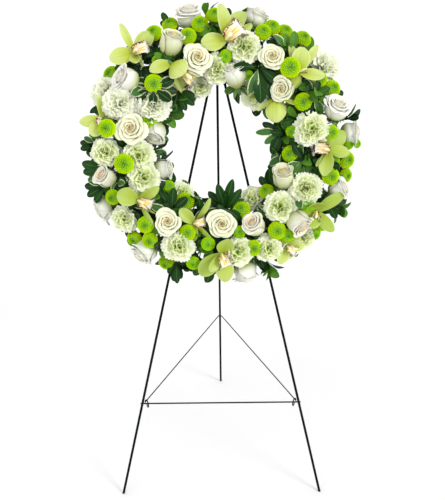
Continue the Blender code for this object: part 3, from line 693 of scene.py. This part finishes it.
def button(shape, size):
    """A button chrysanthemum: blunt florets packed over a low dome, larger towards its rim."""
    full = size > FULL_BUTTON
    florets = FULL_FLORETS if full else SMALL_FLORETS
    sides = 4
    widest = math.radians(106)
    squash = np.array((1, 1, 0.72))
    angles = np.arange(sides) * 2 * math.pi / sides + 0.3
    for number in range(florets):
        part = (number + 0.5) / florets
        polar = widest * part**0.56
        dimple = 0.86 + 0.14 * ease(polar / 0.50)
        reach = size * dimple * (1 + 0.035 * (shape.rng.random() - 0.5))
        outwards, sideways = spoke(number * GOLDEN)
        normal = lean_out(outwards, polar)[0]
        ahead = lean_out(outwards, polar + 0.34 * math.sin(polar))[0]
        flat = np.cross(ahead, sideways)
        wide = size * (0.080 + 0.058 * part) * (FULL_FLORETS / florets) ** 0.5
        root = normal * (reach - 0.28 * size)
        rings = []
        for along, swell in ((0.0, 0.8), (0.21, 1.0), (0.26, 0.62)):
            circle = np.outer(np.cos(angles), sideways) * wide * swell
            circle = circle + np.outer(np.sin(angles), flat) * wide * 0.9 * swell
            rings.append((root + ahead * along * size + circle) * squash)
        marks = np.zeros((3, sides, 4))
        marks[..., 0] = 0.1 if full else 0.8
        marks[..., 1] = np.array((0.0, 0.7, 1.0))[:, None]
        marks[..., 2:] = part, shape.rng.random()
        shape.rings(np.array(rings), marks)
    heights = (0.55, 0.44, 0.08, -0.22, -0.42, -0.60, -0.72)
    upright_core(shape, size, heights, (0.20, 0.64, 0.82, 0.66, 0.40, 0.20, 0.09), 12)


def all_heads():
    """The middle and the radius of every bloom and every orchid petal, in the ring's frame."""
    heads = [Head(*place) for place, *_ in ROSES.values()]
    for table in (CARNATIONS, BUTTON_SPRAYS):
        heads += [Head(*place) for spray in table.values() for place in spray]
    spheres = [(head.centre, head.radius) for head in heads]
    for place, *_, tepals in ORCHIDS.values():
        head = Head(*place)
        spheres.append((head.centre, head.radius * 0.7))
        for clock, lean, length, width, *_ in tepals:
            way = clock_direction(clock, lean) * metres(length)
            radius = metres(width) * 0.42
            spheres += [(head.centre + way * part, radius) for part in (0.35, 0.6, 0.85)]
    centres = np.array([centre for centre, _ in spheres])
    return centres, np.array([radius for _, radius in spheres])


HEAD_CENTRES, HEAD_RADII = all_heads()


def hides_bloom(points):
    """Whether any of the points, in the ring's frame, is inside a bloom or in front of it."""
    for point in points:
        offset = np.array(point) - HEAD_CENTRES
        inside = np.linalg.norm(offset, axis=1) < HEAD_RADII * 0.93
        before = (np.hypot(offset[:, 0], offset[:, 1]) < HEAD_RADII * 0.80) & (offset[:, 2] > 0)
        if (inside | before).any():
            return True
    return False


def leaf(shape, base, ahead, upper, length, width, bend, chance, variegated):
    """One pittosporum leaf: widest past its middle, with a blunt tip and a short stalk."""
    v, u = sheet_grid((0, 0.14, 0.30, 0.46, 0.62, 0.76, 0.88, 0.96, 1.0), 5)
    outline = np.sqrt(np.clip(np.sin(math.pi * v**1.35), 0, 1))
    half = width / 2 * (0.05 * (1 - v) + outline * (0.30 + 0.70 * ease(v / 0.5)))
    fold = 0.34 * np.abs(u) * half * (0.5 + chance)
    wave = 0.05 * width * np.sin(8 * v + 9 * chance + 2 * np.sign(u)) * u**2
    height = bend * length * (v - v**2 * 1.6) + fold + wave
    across = (u * half, np.cross(ahead, upper))
    points = spanned(base, (v * length, ahead), across, (height, upper))
    shape.sheet(points, LEAF_THICKNESS, v, variegated, chance)


def sprig(shape, base, axis, count, length, spread, variegation):
    """A whorl of leaves round the end of a twig. Leaves that would hide a bloom are left out."""
    rng = shape.rng
    matrix = axis_matrix(base, axis, rng.random() * ROLL_RANGE)
    shape.matrix = RING @ matrix
    for number in range(count):
        outwards = spoke(number * GOLDEN)[0]
        lean = math.radians(spread) * (0.45 + 0.75 * (number + 0.5) / count)
        ahead, upper = lean_out(outwards, lean)
        size = metres(length) * (0.75 + 0.4 * rng.random())
        start = np.array((0, 0, -0.004 * number / count)) + outwards * 0.001
        variegated = 1.0 if rng.random() < variegation else 0.0
        bend = 0.05 + 0.20 * rng.random()
        chance = rng.random()
        reach = [matrix @ Vector(start + ahead * size * part) for part in (0.5, 0.75, 1.0)]
        if not hides_bloom(reach):
            leaf(shape, start, ahead, upper, size, size * LEAF_WIDTH, bend, chance, variegated)
    shape.matrix = RING.copy()


def stem(shape, start, away, root, out_of_foam, radius, slot=1):
    """A green stem that leaves the bloom's back and bends into the foam."""
    pull = (start - root).length * 0.45
    corners = [start, start + away * pull, root + out_of_foam * pull, root]
    line = bezier([np.array(corner) for corner in corners], np.linspace(0, 1, 8)[:, None])
    shape.tube(line, np.full(len(line), radius), 6, slot)


def twig(shape, spot, reach, axis, radius, *leaves):
    """A sprig on its own stem out of the foam."""
    base = spot.at(reach)
    sprig(shape, base, axis, *leaves)
    stem(shape, base, -axis, spot.root, spot.away, radius)


# Finishes


def opaque(colour):
    """Adds a colour's fourth value. Another node's output stays as it is."""
    return (*colour, 1.0) if isinstance(colour, tuple) else colour


class Finish:
    """A material whose colour and relief are worked out by nodes."""

    def __init__(self, name, roughness, **constants):
        self.material = bpy.data.materials.new(name)
        self.material.use_nodes = True
        self.tree = self.material.node_tree
        self.shader = self.tree.nodes["Principled BSDF"]
        self.feed(self.shader, {"Roughness": roughness})
        for socket, value in constants.items():
            self.feed(self.shader, {socket.replace("_", " "): value})

    def feed(self, node, inputs):
        """Gives inputs of a node a constant or another node's output."""
        for name, value in inputs.items():
            if isinstance(value, bpy.types.NodeSocket):
                self.tree.links.new(value, node.inputs[name])
            else:
                node.inputs[name].default_value = value

    def node(self, kind, inputs, **values):
        made = self.tree.nodes.new("ShaderNode" + kind)
        for key, value in values.items():
            setattr(made, key, value)
        self.feed(made, inputs)
        return made

    def marks(self):
        """The sockets of the four marks: across, along, which petal, chance."""
        attribute = self.node("Attribute", {}, attribute_name="marks")
        split = self.node("SeparateColor", {0: attribute.outputs["Color"]})
        return (*split.outputs[:3], attribute.outputs["Alpha"])

    def math(self, operation, first, second=0.0, clamp=False):
        inputs = {0: first, 1: second}
        return self.node("Math", inputs, operation=operation, use_clamp=clamp).outputs[0]

    def times(self, first, second, clamp=False):
        return self.math("MULTIPLY", first, second, clamp)

    def past(self, value, start, gain, clamp=True):
        """How far a value is past a start, times a gain."""
        return self.times(self.math("SUBTRACT", value, start, clamp=True), gain, clamp)

    def fade(self, value, gain):
        """1 where the value is 0, falling to 0."""
        return self.math("SUBTRACT", 1.0, self.times(value, gain), clamp=True)

    def from_middle(self, across):
        return self.math("ABSOLUTE", self.math("SUBTRACT", across, 0.5))

    def ramp(self, factor, *stops):
        """Colours along a factor. A stop is its place, red, green and blue."""
        made = self.node("ValToRGB", {"Fac": factor})
        elements = made.color_ramp.elements
        while len(elements) < len(stops):
            elements.new(0.5)
        for element, (place, *colour) in zip(elements, stops):
            element.position = place
            element.color = (*colour, 1.0)
        return made.outputs["Color"]

    def mix(self, factor, first, second):
        inputs = {0: factor, 6: opaque(first), 7: opaque(second)}
        return self.node("Mix", inputs, data_type="RGBA").outputs[2]

    def tinted(self, colour, *tints):
        """A colour that goes towards other colours, each by a factor and a share of it."""
        for factor, share, towards in tints:
            colour = self.mix(self.times(factor, share), colour, towards)
        return colour

    def noise(self, scale, detail=2.0, vector=None, roughness=0.5):
        inputs = {"Scale": scale, "Detail": detail, "Roughness": roughness}
        inputs["Vector"] = self.object_space() if vector is None else vector
        return self.node("TexNoise", inputs).outputs["Fac"]

    def object_space(self):
        return self.node("TexCoord", {}).outputs["Object"]

    def petal_space(self, across_scale, along_scale):
        """A texture space that runs along each petal, and differs from petal to petal."""
        across, along, _, chance = self.marks()
        scaled = ((across, across_scale), (along, along_scale), (chance, 40.0))
        inputs = {axis: self.times(*pair) for axis, pair in enumerate(scaled)}
        return self.node("CombineXYZ", inputs).outputs[0]

    def petal_noise(self, across_scale, along_scale, detail):
        return self.noise(1.0, detail, self.petal_space(across_scale, along_scale))

    def done(self, colour, gloss, relief):
        """Dresses the shader, and returns the material.

        Gloss is a factor and its least and greatest roughness. Relief is a height, its distance
        and its strength.
        """
        inputs = {"Base Color": colour}
        if gloss:
            inputs["Roughness"] = self.node(
                "MapRange", dict(zip(("Value", "To Min", "To Max"), gloss))
            ).outputs["Result"]
        if relief:
            inputs["Normal"] = self.node(
                "Bump", dict(zip(("Height", "Distance", "Strength"), relief))
            ).outputs["Normal"]
        self.feed(self.shader, inputs)
        return self.material


def soft_petal(name, roughness, weight, radius, gloss=0.3):
    """A finish that lets some light through, a weight of it, in red, green and blue."""
    return Finish(
        name,
        roughness,
        Subsurface_Weight=weight,
        Subsurface_Radius=radius,
        Subsurface_Scale=0.006,
        Specular_IOR_Level=gloss,
    )


def rose_finish(name, heart, middle, guard):
    """Petals that go from a warm heart to pale guards, with fine veins, olive-green at the claw:
    partly their own colour, partly painted shade in the creases.
    """
    made = soft_petal(f"rose petals {name}", 0.55, 0.30, (1.0, 0.85, 0.65))
    _, along, petal, _ = made.marks()
    veins = made.petal_noise(26.0, 2.2, 3.0)
    # The claw's olive is partly the petal's own colour and partly painted shade in the creases deep
    # in the bloom
    colour = made.tinted(
        made.ramp(petal, (0.0, *heart), (0.22, *middle), (0.55, *guard), (1.0, *guard)),
        (made.fade(along, 1.35), 1.5, (0.36, 0.42, 0.10)),
        (veins, 0.10, (0.86, 0.82, 0.66)),
    )
    colour = made.mix(made.past(along, 0.86, 2.2), colour, (0.92, 0.92, 0.82))
    return made.done(colour, (veins, 0.45, 0.65), (veins, 0.0004, 0.35))


def carnation_finish(name, whiten):
    """Green-white petals, almost white at the pinked edge, and yellow-green towards the depths of
    the head: partly their own colour, partly painted shade there.
    """
    made = soft_petal(name, 0.6, 0.30, (0.9, 1.0, 0.6))
    _, along, petal, _ = made.marks()
    # The dark yellow-green at each petal's root is partly its own colour and partly painted shade
    # in the depths
    heart = made.ramp(
        along,
        (0.0, 0.26, 0.44, 0.03),
        (0.55, 0.50, 0.66, 0.10),
        (0.80, 0.70, 0.82, 0.24),
        (1.0, 0.91, 0.95, 0.66),
    )
    skirt = made.ramp(
        along,
        (0.0, 0.28, 0.46, 0.04),
        (0.50, 0.58, 0.74, 0.20),
        (0.78, 0.86, 0.93, 0.54),
        (1.0, 0.96, 0.98, 0.85),
    )
    colour = made.tinted(heart, (petal, 1.4, skirt))
    colour = made.mix(whiten, colour, (0.98, 0.995, 0.84))
    veins = made.petal_noise(34.0, 2.5, 3.0)
    colour = made.tinted(colour, (veins, 0.10, (0.74, 0.84, 0.36)))
    return made.done(colour, (veins, 0.5, 0.7), (veins, 0.0005, 0.5))


def orchid_finish():
    """Green-yellow sepals and petals with a pale edge, darker veins and a fine rib."""
    made = soft_petal("orchid tepals", 0.42, 0.22, (0.9, 1.0, 0.35))
    across, along, shade, _ = made.marks()
    colour = made.ramp(
        along,
        (0.0, 0.32, 0.38, 0.006),
        (0.28, 0.42, 0.50, 0.020),
        (0.62, 0.55, 0.63, 0.170),
        (1.0, 0.58, 0.67, 0.270),
    )
    middle = made.from_middle(across)
    veins = made.petal_noise(22.0, 1.2, 2.0)
    colour = made.tinted(
        colour,
        (middle, 0.7, (0.66, 0.76, 0.28)),
        (veins, 0.55, (0.26, 0.34, 0.025)),
        (made.fade(middle, 22.0), 0.35, (0.35, 0.44, 0.05)),
    )
    colour = made.mix(made.past(middle, 0.42, 8.0), colour, (0.74, 0.80, 0.42))
    # Each flower's shade tints it towards dark olive as its own tone; the sepals that lean back get
    # more of it as painted shade
    colour = made.tinted(colour, (shade, 0.85, (0.26, 0.38, 0.030)))
    return made.done(colour, (veins, 0.32, 0.5), (veins, 0.0006, 0.4))


def lip_finish():
    """Cream with a pink blush, a yellow throat, and maroon flecks along the ruffled edge."""
    made = soft_petal("orchid lip", 0.45, 0.25, (1.0, 0.7, 0.6))
    across, along, _, _ = made.marks()
    base = made.ramp(
        along,
        (0.0, 0.80, 0.60, 0.12),
        (0.30, 0.92, 0.82, 0.56),
        (0.55, 0.94, 0.90, 0.76),
        (1.0, 0.95, 0.93, 0.82),
    )
    blush = made.past(made.petal_noise(3.0, 3.0, 2.0), 0.40, 2.4, clamp=False)
    side = made.times(made.from_middle(across), 2.0)
    rim = made.past(made.math("MAXIMUM", side, made.times(along, 1.02)), 0.66, 9.0)
    flecks = made.petal_noise(13.0, 15.0, 1.0)
    spots = made.past(flecks, 0.40, 14.0)
    pink, maroon = (0.90, 0.60, 0.54), (0.10, 0.005, 0.014)
    colour = made.tinted(base, (blush, 0.30, pink), (spots, rim, maroon))
    return made.done(colour, None, (flecks, 0.0003, 0.4))


def column_finish():
    """A cream column and orange ridges, with red dots."""
    made = Finish("orchid column", 0.35, Subsurface_Weight=0.2, Subsurface_Scale=0.003)
    _, along, ridge, _ = made.marks()
    cream = made.ramp(
        along, (0.0, 0.66, 0.66, 0.18), (0.7, 0.84, 0.80, 0.42), (1.0, 0.92, 0.88, 0.70)
    )
    colour = made.mix(ridge, cream, (0.88, 0.62, 0.06))
    dots = made.past(made.noise(900.0, 1.0), 0.66, 12.0)
    colour = made.tinted(colour, (dots, 0.6, (0.45, 0.10, 0.08)))
    return made.done(colour, None, (made.noise(400.0), 0.0003, 0.4))


def button_finish():
    """Yellow-green florets round a green pit. The small heads are greener."""
    made = soft_petal("button florets", 0.7, 0.10, (0.7, 1.0, 0.1), gloss=0.02)
    small, along, petal, chance = made.marks()
    tip = made.ramp(
        petal,
        (0.0, 0.012, 0.075, 0.001),
        (0.04, 0.060, 0.230, 0.001),
        (0.12, 0.300, 0.600, 0.002),
        (1.0, 0.74, 0.92, 0.003),
    )
    # Each floret is darker green towards its root: partly its own colour, partly painted shade
    # between the florets
    colour = made.tinted(
        made.mix(made.fade(along, 1.0), tip, (0.28, 0.50, 0.001)),
        (chance, 0.25, (0.78, 0.94, 0.010)),
        (small, 0.55, (0.20, 0.60, 0.001)),
        (made.fade(petal, 24.0), 0.9, (0.010, 0.070, 0.001)),
    )
    fine = made.noise(1800.0)
    return made.done(colour, (fine, 0.45, 0.65), (fine, 0.0002, 0.4))


def green_finish(name, dark, light):
    """Stems, calyces and the green cores of blooms."""
    made = Finish(name, 0.5, Subsurface_Weight=0.08, Subsurface_Scale=0.003)
    patches = made.noise(140.0, 3.0)
    colour = made.mix(patches, dark, light)
    return made.done(colour, (patches, 0.4, 0.6), (made.noise(900.0), 0.0002, 0.5))


def leaf_finish():
    """Glossy green leaves with a pale rib; the variegated ones are grey-green with cream edges."""
    made = Finish("pittosporum leaves", 0.40, Specular_IOR_Level=0.12)
    across, _, variegated, chance = made.marks()
    middle = made.from_middle(across)
    plain = made.ramp(
        chance, (0.0, 0.003, 0.020, 0.002), (0.5, 0.009, 0.050, 0.004), (1.0, 0.100, 0.260, 0.018)
    )
    mottle = made.petal_noise(9.0, 12.0, 3.0)
    grey = made.mix(mottle, (0.020, 0.095, 0.018), (0.090, 0.220, 0.060))
    margin = made.past(made.math("ADD", middle, made.times(mottle, 0.22)), 0.47, 14.0)
    rib = made.fade(middle, 26.0)
    colour = made.tinted(
        made.mix(made.past(variegated, 0.6, 2.0), plain, grey),
        (margin, variegated, (0.66, 0.72, 0.42)),
        (rib, 0.40, (0.22, 0.38, 0.12)),
        (mottle, 0.25, (0.012, 0.065, 0.008)),
    )
    inputs = {"Scale": 0.6, "Distortion": 2.0, "Vector": made.petal_space(3.0, 9.0)}
    wave = made.node("TexWave", inputs, bands_direction="Y")
    relief = made.math("ADD", made.times(wave.outputs["Fac"], 0.3), rib)
    return made.done(colour, (mottle, 0.30, 0.50), (relief, 0.0003, 0.35))


def paint_finish():
    """Dark green enamel on steel wire, with an uneven gloss and small chips."""
    made = Finish("easel paint", 0.45, Specular_IOR_Level=0.05)
    uneven = made.noise(90.0, 4.0)
    colour = made.mix(uneven, (0.0008, 0.0026, 0.0018), (0.0022, 0.0058, 0.0040))
    worn = made.noise(420.0, 3.0, roughness=0.7)
    colour = made.tinted(colour, (made.past(worn, 0.71, 20.0), 0.5, (0.02, 0.024, 0.02)))
    return made.done(colour, (uneven, 0.35, 0.55), (worn, 0.00015, 0.5))


def wire_finish():
    made = Finish("bright wire", 0.3, Metallic=1.0)
    drawn = made.noise(700.0, 3.0)
    colour = made.mix(drawn, (0.42, 0.43, 0.44), (0.66, 0.67, 0.68))
    return made.done(colour, (drawn, 0.22, 0.45), (drawn, 0.0001, 0.4))


def tray_finish():
    made = Finish("tray plastic", 0.4)
    colour = made.mix(made.noise(30.0, 2.0), (0.010, 0.060, 0.018), (0.022, 0.100, 0.032))
    grain = made.noise(1500.0, 2.0)
    return made.done(colour, (grain, 0.32, 0.5), (grain, 0.0001, 0.5))


def foam_finish():
    """Wet floral foam: fine open cells, darker where it has soaked."""
    made = Finish("floral foam", 0.95)
    soaked = made.noise(25.0, 3.0)
    colour = made.mix(soaked, (0.020, 0.085, 0.028), (0.050, 0.160, 0.060))
    pattern = made.node("TexVoronoi", {"Scale": 900.0, "Vector": made.object_space()})
    cells = pattern.outputs["Distance"]
    colour = made.mix(cells, colour, (0.010, 0.050, 0.016))
    return made.done(colour, None, (cells, 0.0006, 0.8))


def floor_finish():
    """A pale floor, a little less pale round the feet. Farther out it is paler still: painted light
    that washes out the wreath's cast shadow.
    """
    made = Finish("pale floor", 0.9, Specular_IOR_Level=0.1)
    near = made.mix(made.noise(3.0, 3.0), (0.925, 0.925, 0.925), (0.935, 0.935, 0.935))
    distance = made.node("VectorMath", {0: made.object_space()}, operation="LENGTH")
    # Painted light: the floor turns paler away from the feet, over where the wreath's shadow falls
    away = made.past(distance.outputs["Value"], 0.40, 2.5)
    return made.done(made.mix(away, near, (0.99, 0.99, 0.99)), None, None)


ROSE_COLOURS = {
    # heart, middle and guard petals
    "cream": ((0.86, 0.62, 0.26), (0.84, 0.76, 0.40), (0.82, 0.82, 0.55)),
    "bright": ((0.95, 0.88, 0.64), (0.96, 0.93, 0.79), (0.98, 0.96, 0.87)),
    "white": ((0.95, 0.90, 0.64), (0.96, 0.95, 0.78), (0.97, 0.97, 0.87)),
    "blush": ((0.88, 0.54, 0.26), (0.89, 0.74, 0.48), (0.89, 0.85, 0.69)),
}
ROSE_FINISHES = {name: rose_finish(name, *colours) for name, colours in ROSE_COLOURS.items()}
CARNATION = carnation_finish("carnation petals", 0.08)
PALE_CARNATION = carnation_finish("carnation petals pale", 0.86)
ORCHID = [orchid_finish(), lip_finish(), column_finish()]
BUTTON = button_finish()
GREEN = green_finish("stems and calyces", (0.045, 0.130, 0.025), (0.110, 0.240, 0.050))
BUTTON_GREEN = green_finish(
    "button chrysanthemum cores", (0.120, 0.330, 0.006), (0.200, 0.450, 0.012)
)
LEAF = leaf_finish()


def finish_stem(shape, head, axis, back, root, slot=1):
    """Adds the stem from the back of a bloom to its root in the foam."""
    shape.matrix = RING.copy()
    start = head.centre - axis * (head.radius * back)
    stem(shape, start, -axis, root, head.away, min(STEM_RADIUS, head.radius * 0.12), slot)


def build_roses():
    for number, (place, look, openness, finish) in ROSES.items():
        shape = Shape(f"rose_{number:02d}")
        head = Head(*place)
        axis = clock_direction(*look)
        shape.matrix = RING @ axis_matrix(head.centre, axis, shape.rng.random() * ROLL_RANGE)
        rose(shape, head.radius, openness)
        finish_stem(shape, head, axis, 0.98, head.root)
        shape.finish("_bloom", [ROSE_FINISHES[finish], GREEN], "rose_petal")


def build_orchids():
    """Each orchid has five sepals and petals, the lip, the column over it, and its green back."""
    for number, (place, look, lip, shade, tepals) in ORCHIDS.items():
        shape = Shape(f"orchid_{number:02d}")
        rng = shape.rng
        head = Head(*place)
        axis = clock_direction(*look)
        lip_clock, lip_size, *lip_shift = lip
        shape.matrix = RING @ Matrix.Translation(head.centre)
        for clock, lean, length, width, bend, twist in tepals:
            ahead, upper = sheet_frame(clock, lean, twist)
            # Painted shade: the sepals that lean back are darkened, as they lie in the shade of the
            # petals
            painted_shade_behind = 0.3 if lean > 92 else 0.0
            sizes = (metres(length), metres(width))
            tepal(shape, ahead, upper, *sizes, bend, shade + painted_shade_behind, rng.random())
        turned = RING @ axis_matrix(head.centre, axis, math.radians(180 - lip_clock))
        shape.matrix = turned @ Matrix.Translation((0, 0, metres(sum(lip_shift))))
        orchid_lip(shape, head.radius * lip_size, rng.random())
        orchid_column(shape, head.radius * lip_size)
        shape.matrix = turned
        radii = (0.10, 0.12, 0.08, 0.07)
        upright_core(shape, head.radius, (0.08, -0.1, -0.35, -0.7), radii, 7, 3)
        finish_stem(shape, head, axis, 0.6, head.root, 3)
        shape.finish("_bloom", [*ORCHID, GREEN], "orchid_petal")


def build_heads(table, names, bloom, back, materials, slot_name, pale=(), pale_materials=None):
    """Sprays of round heads on one stem: the first stands in the foam, the others branch.

    A head faces between its stem's line and straight forward.
    """
    for number, places in table.items():
        shape = Shape(names.format(number))
        last = None
        for place in places:
            head = Head(*place)
            axis = head.away.lerp(FORWARD, FACE_FORWARD).normalized()
            shape.matrix = RING @ axis_matrix(head.centre, axis, shape.rng.random() * ROLL_RANGE)
            bloom(shape, head.radius)
            last = head.root if last is None else head.root.lerp(last, 0.75)
            finish_stem(shape, head, axis, back, last)
        used = pale_materials if number in pale else materials
        shape.finish("_heads", used, slot_name)


def build_greenery():
    for number, ((clock, tilt, reach), look, *leaves) in GREENERY.items():
        shape = Shape(f"greenery_sprig_{number}")
        axis = clock_direction(*look)
        twig(shape, Spot(clock, tilt), metres(reach), axis, TWIG_RADIUS, *leaves)
        shape.finish("_leaves", [LEAF, GREEN], "leaf")


def build_fans():
    """Leaves that are set one by one where they show between the blooms."""
    for number, ((clock, tilt, reach), *leaves) in FANS.items():
        shape = Shape(f"greenery_sprig_{number}")
        rng = shape.rng
        spot = Spot(clock, tilt)
        base = spot.at(metres(reach))
        for leaf_clock, lean, length, width, light, *variegated in leaves:
            ahead, upper = sheet_frame(leaf_clock, lean, 24 * rng.random() - 12)
            bend = 0.08 + 0.22 * rng.random()
            start = np.array(base) + ahead * 0.004 - np.array((0, 0, FAN_STAGGER * rng.random()))
            sizes = (metres(length), metres(width) * FAN_LEAF_NARROWING)
            leaf(shape, start, ahead, upper, *sizes, bend, light / 100, sum(variegated))
        stem(shape, base, (spot.root - base).normalized(), spot.root, spot.away, TWIG_RADIUS)
        shape.finish("_leaves", [LEAF, GREEN], "leaf")


def build_fill():
    """Short sprigs all round the ring, which close the gaps between the blooms."""
    rng = np.random.default_rng(7)
    shapes = [Shape(f"greenery_fill_{number + 1}", rng) for number in range(FILL_PIECES)]
    lowest, highest = FILL_TILTS
    for number in range(FILL_SPRIGS):
        clock = number * 360.0 / FILL_SPRIGS + rng.normal(0, 2.0)
        tilt = lowest + (highest - lowest) * (number * GOLDEN_PART % 1.0)
        if tilt < HOOK_TILT and min(clock % 360, -clock % 360) < HOOK_CLOCK:
            continue
        reach = 0.038 + (0.024 if tilt < 30 else 0.012) * rng.random()
        axis = clock_direction(clock + rng.normal(0, 12), tilt * 0.9 + rng.normal(0, 14))
        shape = shapes[number * FILL_PIECES // FILL_SPRIGS]
        twig(shape, Spot(clock, tilt), reach, axis, FILL_TWIG_RADIUS, *FILL_LEAVES)
    for shape in shapes:
        shape.finish("", [LEAF, GREEN], "leaf")


def finish_cad_nodes():
    """The easel, the pins, the tray and the foam keep their CAD solids."""
    legs = ("front_leg_left", "front_leg_right", "rear_leg")
    kept = (
        ("easel_paint", paint_finish(), (*legs, "crossbar", "rear_brace", "hanging_hook")),
        ("bright_wire", wire_finish(), ("apex_pin", "fixing_pin_left", "fixing_pin_right")),
        ("tray_plastic", tray_finish(), ("ring_tray",)),
        ("floral_foam", foam_finish(), ("foam_ring",)),
    )
    for slot_name, finish, names in kept:
        for name in names:
            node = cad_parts[name]
            for material_slot in node.material_slots:
                material_slot.material = finish


def build_floor():
    """A broad pale floor just under the easel's feet."""
    mesh = bpy.data.meshes.new("floor")
    reach, height = 150.0, -0.0003
    sides = ((-1, -1), (1, -1), (1, 1), (-1, 1))
    mesh.from_pydata([(x * reach, y * reach, height) for x, y in sides], [], [(0, 1, 2, 3)])
    mesh.materials.append(floor_finish())
    floor = add_object("floor", mesh)


def add_sun(name, location, energy, angle):
    """A sun that shines from its location through the middle of the easel."""
    data = bpy.data.lights.new(name, "SUN")
    data.energy = energy
    data.angle = math.radians(angle)
    light = add_object(name, data)
    light.location = location
    ahead = Vector((0, 0, 0.5)) - Vector(location)
    light.rotation_euler = ahead.to_track_quat("-Z", "Y").to_euler()


def build_light():
    world = bpy.data.worlds.new("studio")
    bpy.context.scene.world = world
    world.use_nodes = True
    background = world.node_tree.nodes["Background"]
    background.inputs["Color"].default_value = (1.0, 1.0, 1.0, 1.0)
    background.inputs["Strength"].default_value = 0.8
    add_sun("key", (2.0, -2.1, 1.8), 1.7, 18)
    add_sun("fill", (-1.4, -2.4, 1.8), 0.8, 60)
    bpy.context.scene.view_settings.view_transform = "Standard"


def build_camera():
    """Stands a metre and a half in front, looking down on the easel."""
    place = Vector((0.0034, -1.4947, 0.9862))
    yaw, pitch, roll = (math.radians(angle) for angle in (0.148, 19.686, -0.527))
    level = math.cos(pitch)
    ahead = Vector((math.sin(yaw) * level, math.cos(yaw) * level, -math.sin(pitch)))
    right = Vector((math.cos(yaw), -math.sin(yaw), 0.0))
    up = right.cross(ahead)
    side = right * math.cos(roll) + up * math.sin(roll)
    top = up * math.cos(roll) - right * math.sin(roll)
    data = bpy.data.cameras.new("camera")
    data.sensor_fit = "AUTO"
    data.sensor_width = 36.0
    data.lens = 52.89
    camera = add_object("camera", data)
    turn = Matrix((side, top, -ahead)).transposed().to_4x4()
    camera.matrix_world = Matrix.Translation(place) @ turn
    bpy.context.scene.camera = camera


build_camera()
finish_cad_nodes()
build_roses()
build_orchids()
build_heads(
    CARNATIONS,
    "carnation_{:02d}",
    carnation,
    1.05,
    [CARNATION, GREEN],
    "carnation_petal",
    pale=(1, 5),
    pale_materials=[PALE_CARNATION, GREEN],
)
build_heads(
    BUTTON_SPRAYS, "button_spray_{}", button, 0.75, [BUTTON, BUTTON_GREEN], "button_petal"
)
build_greenery()
build_fans()
build_fill()
build_floor()
build_light()
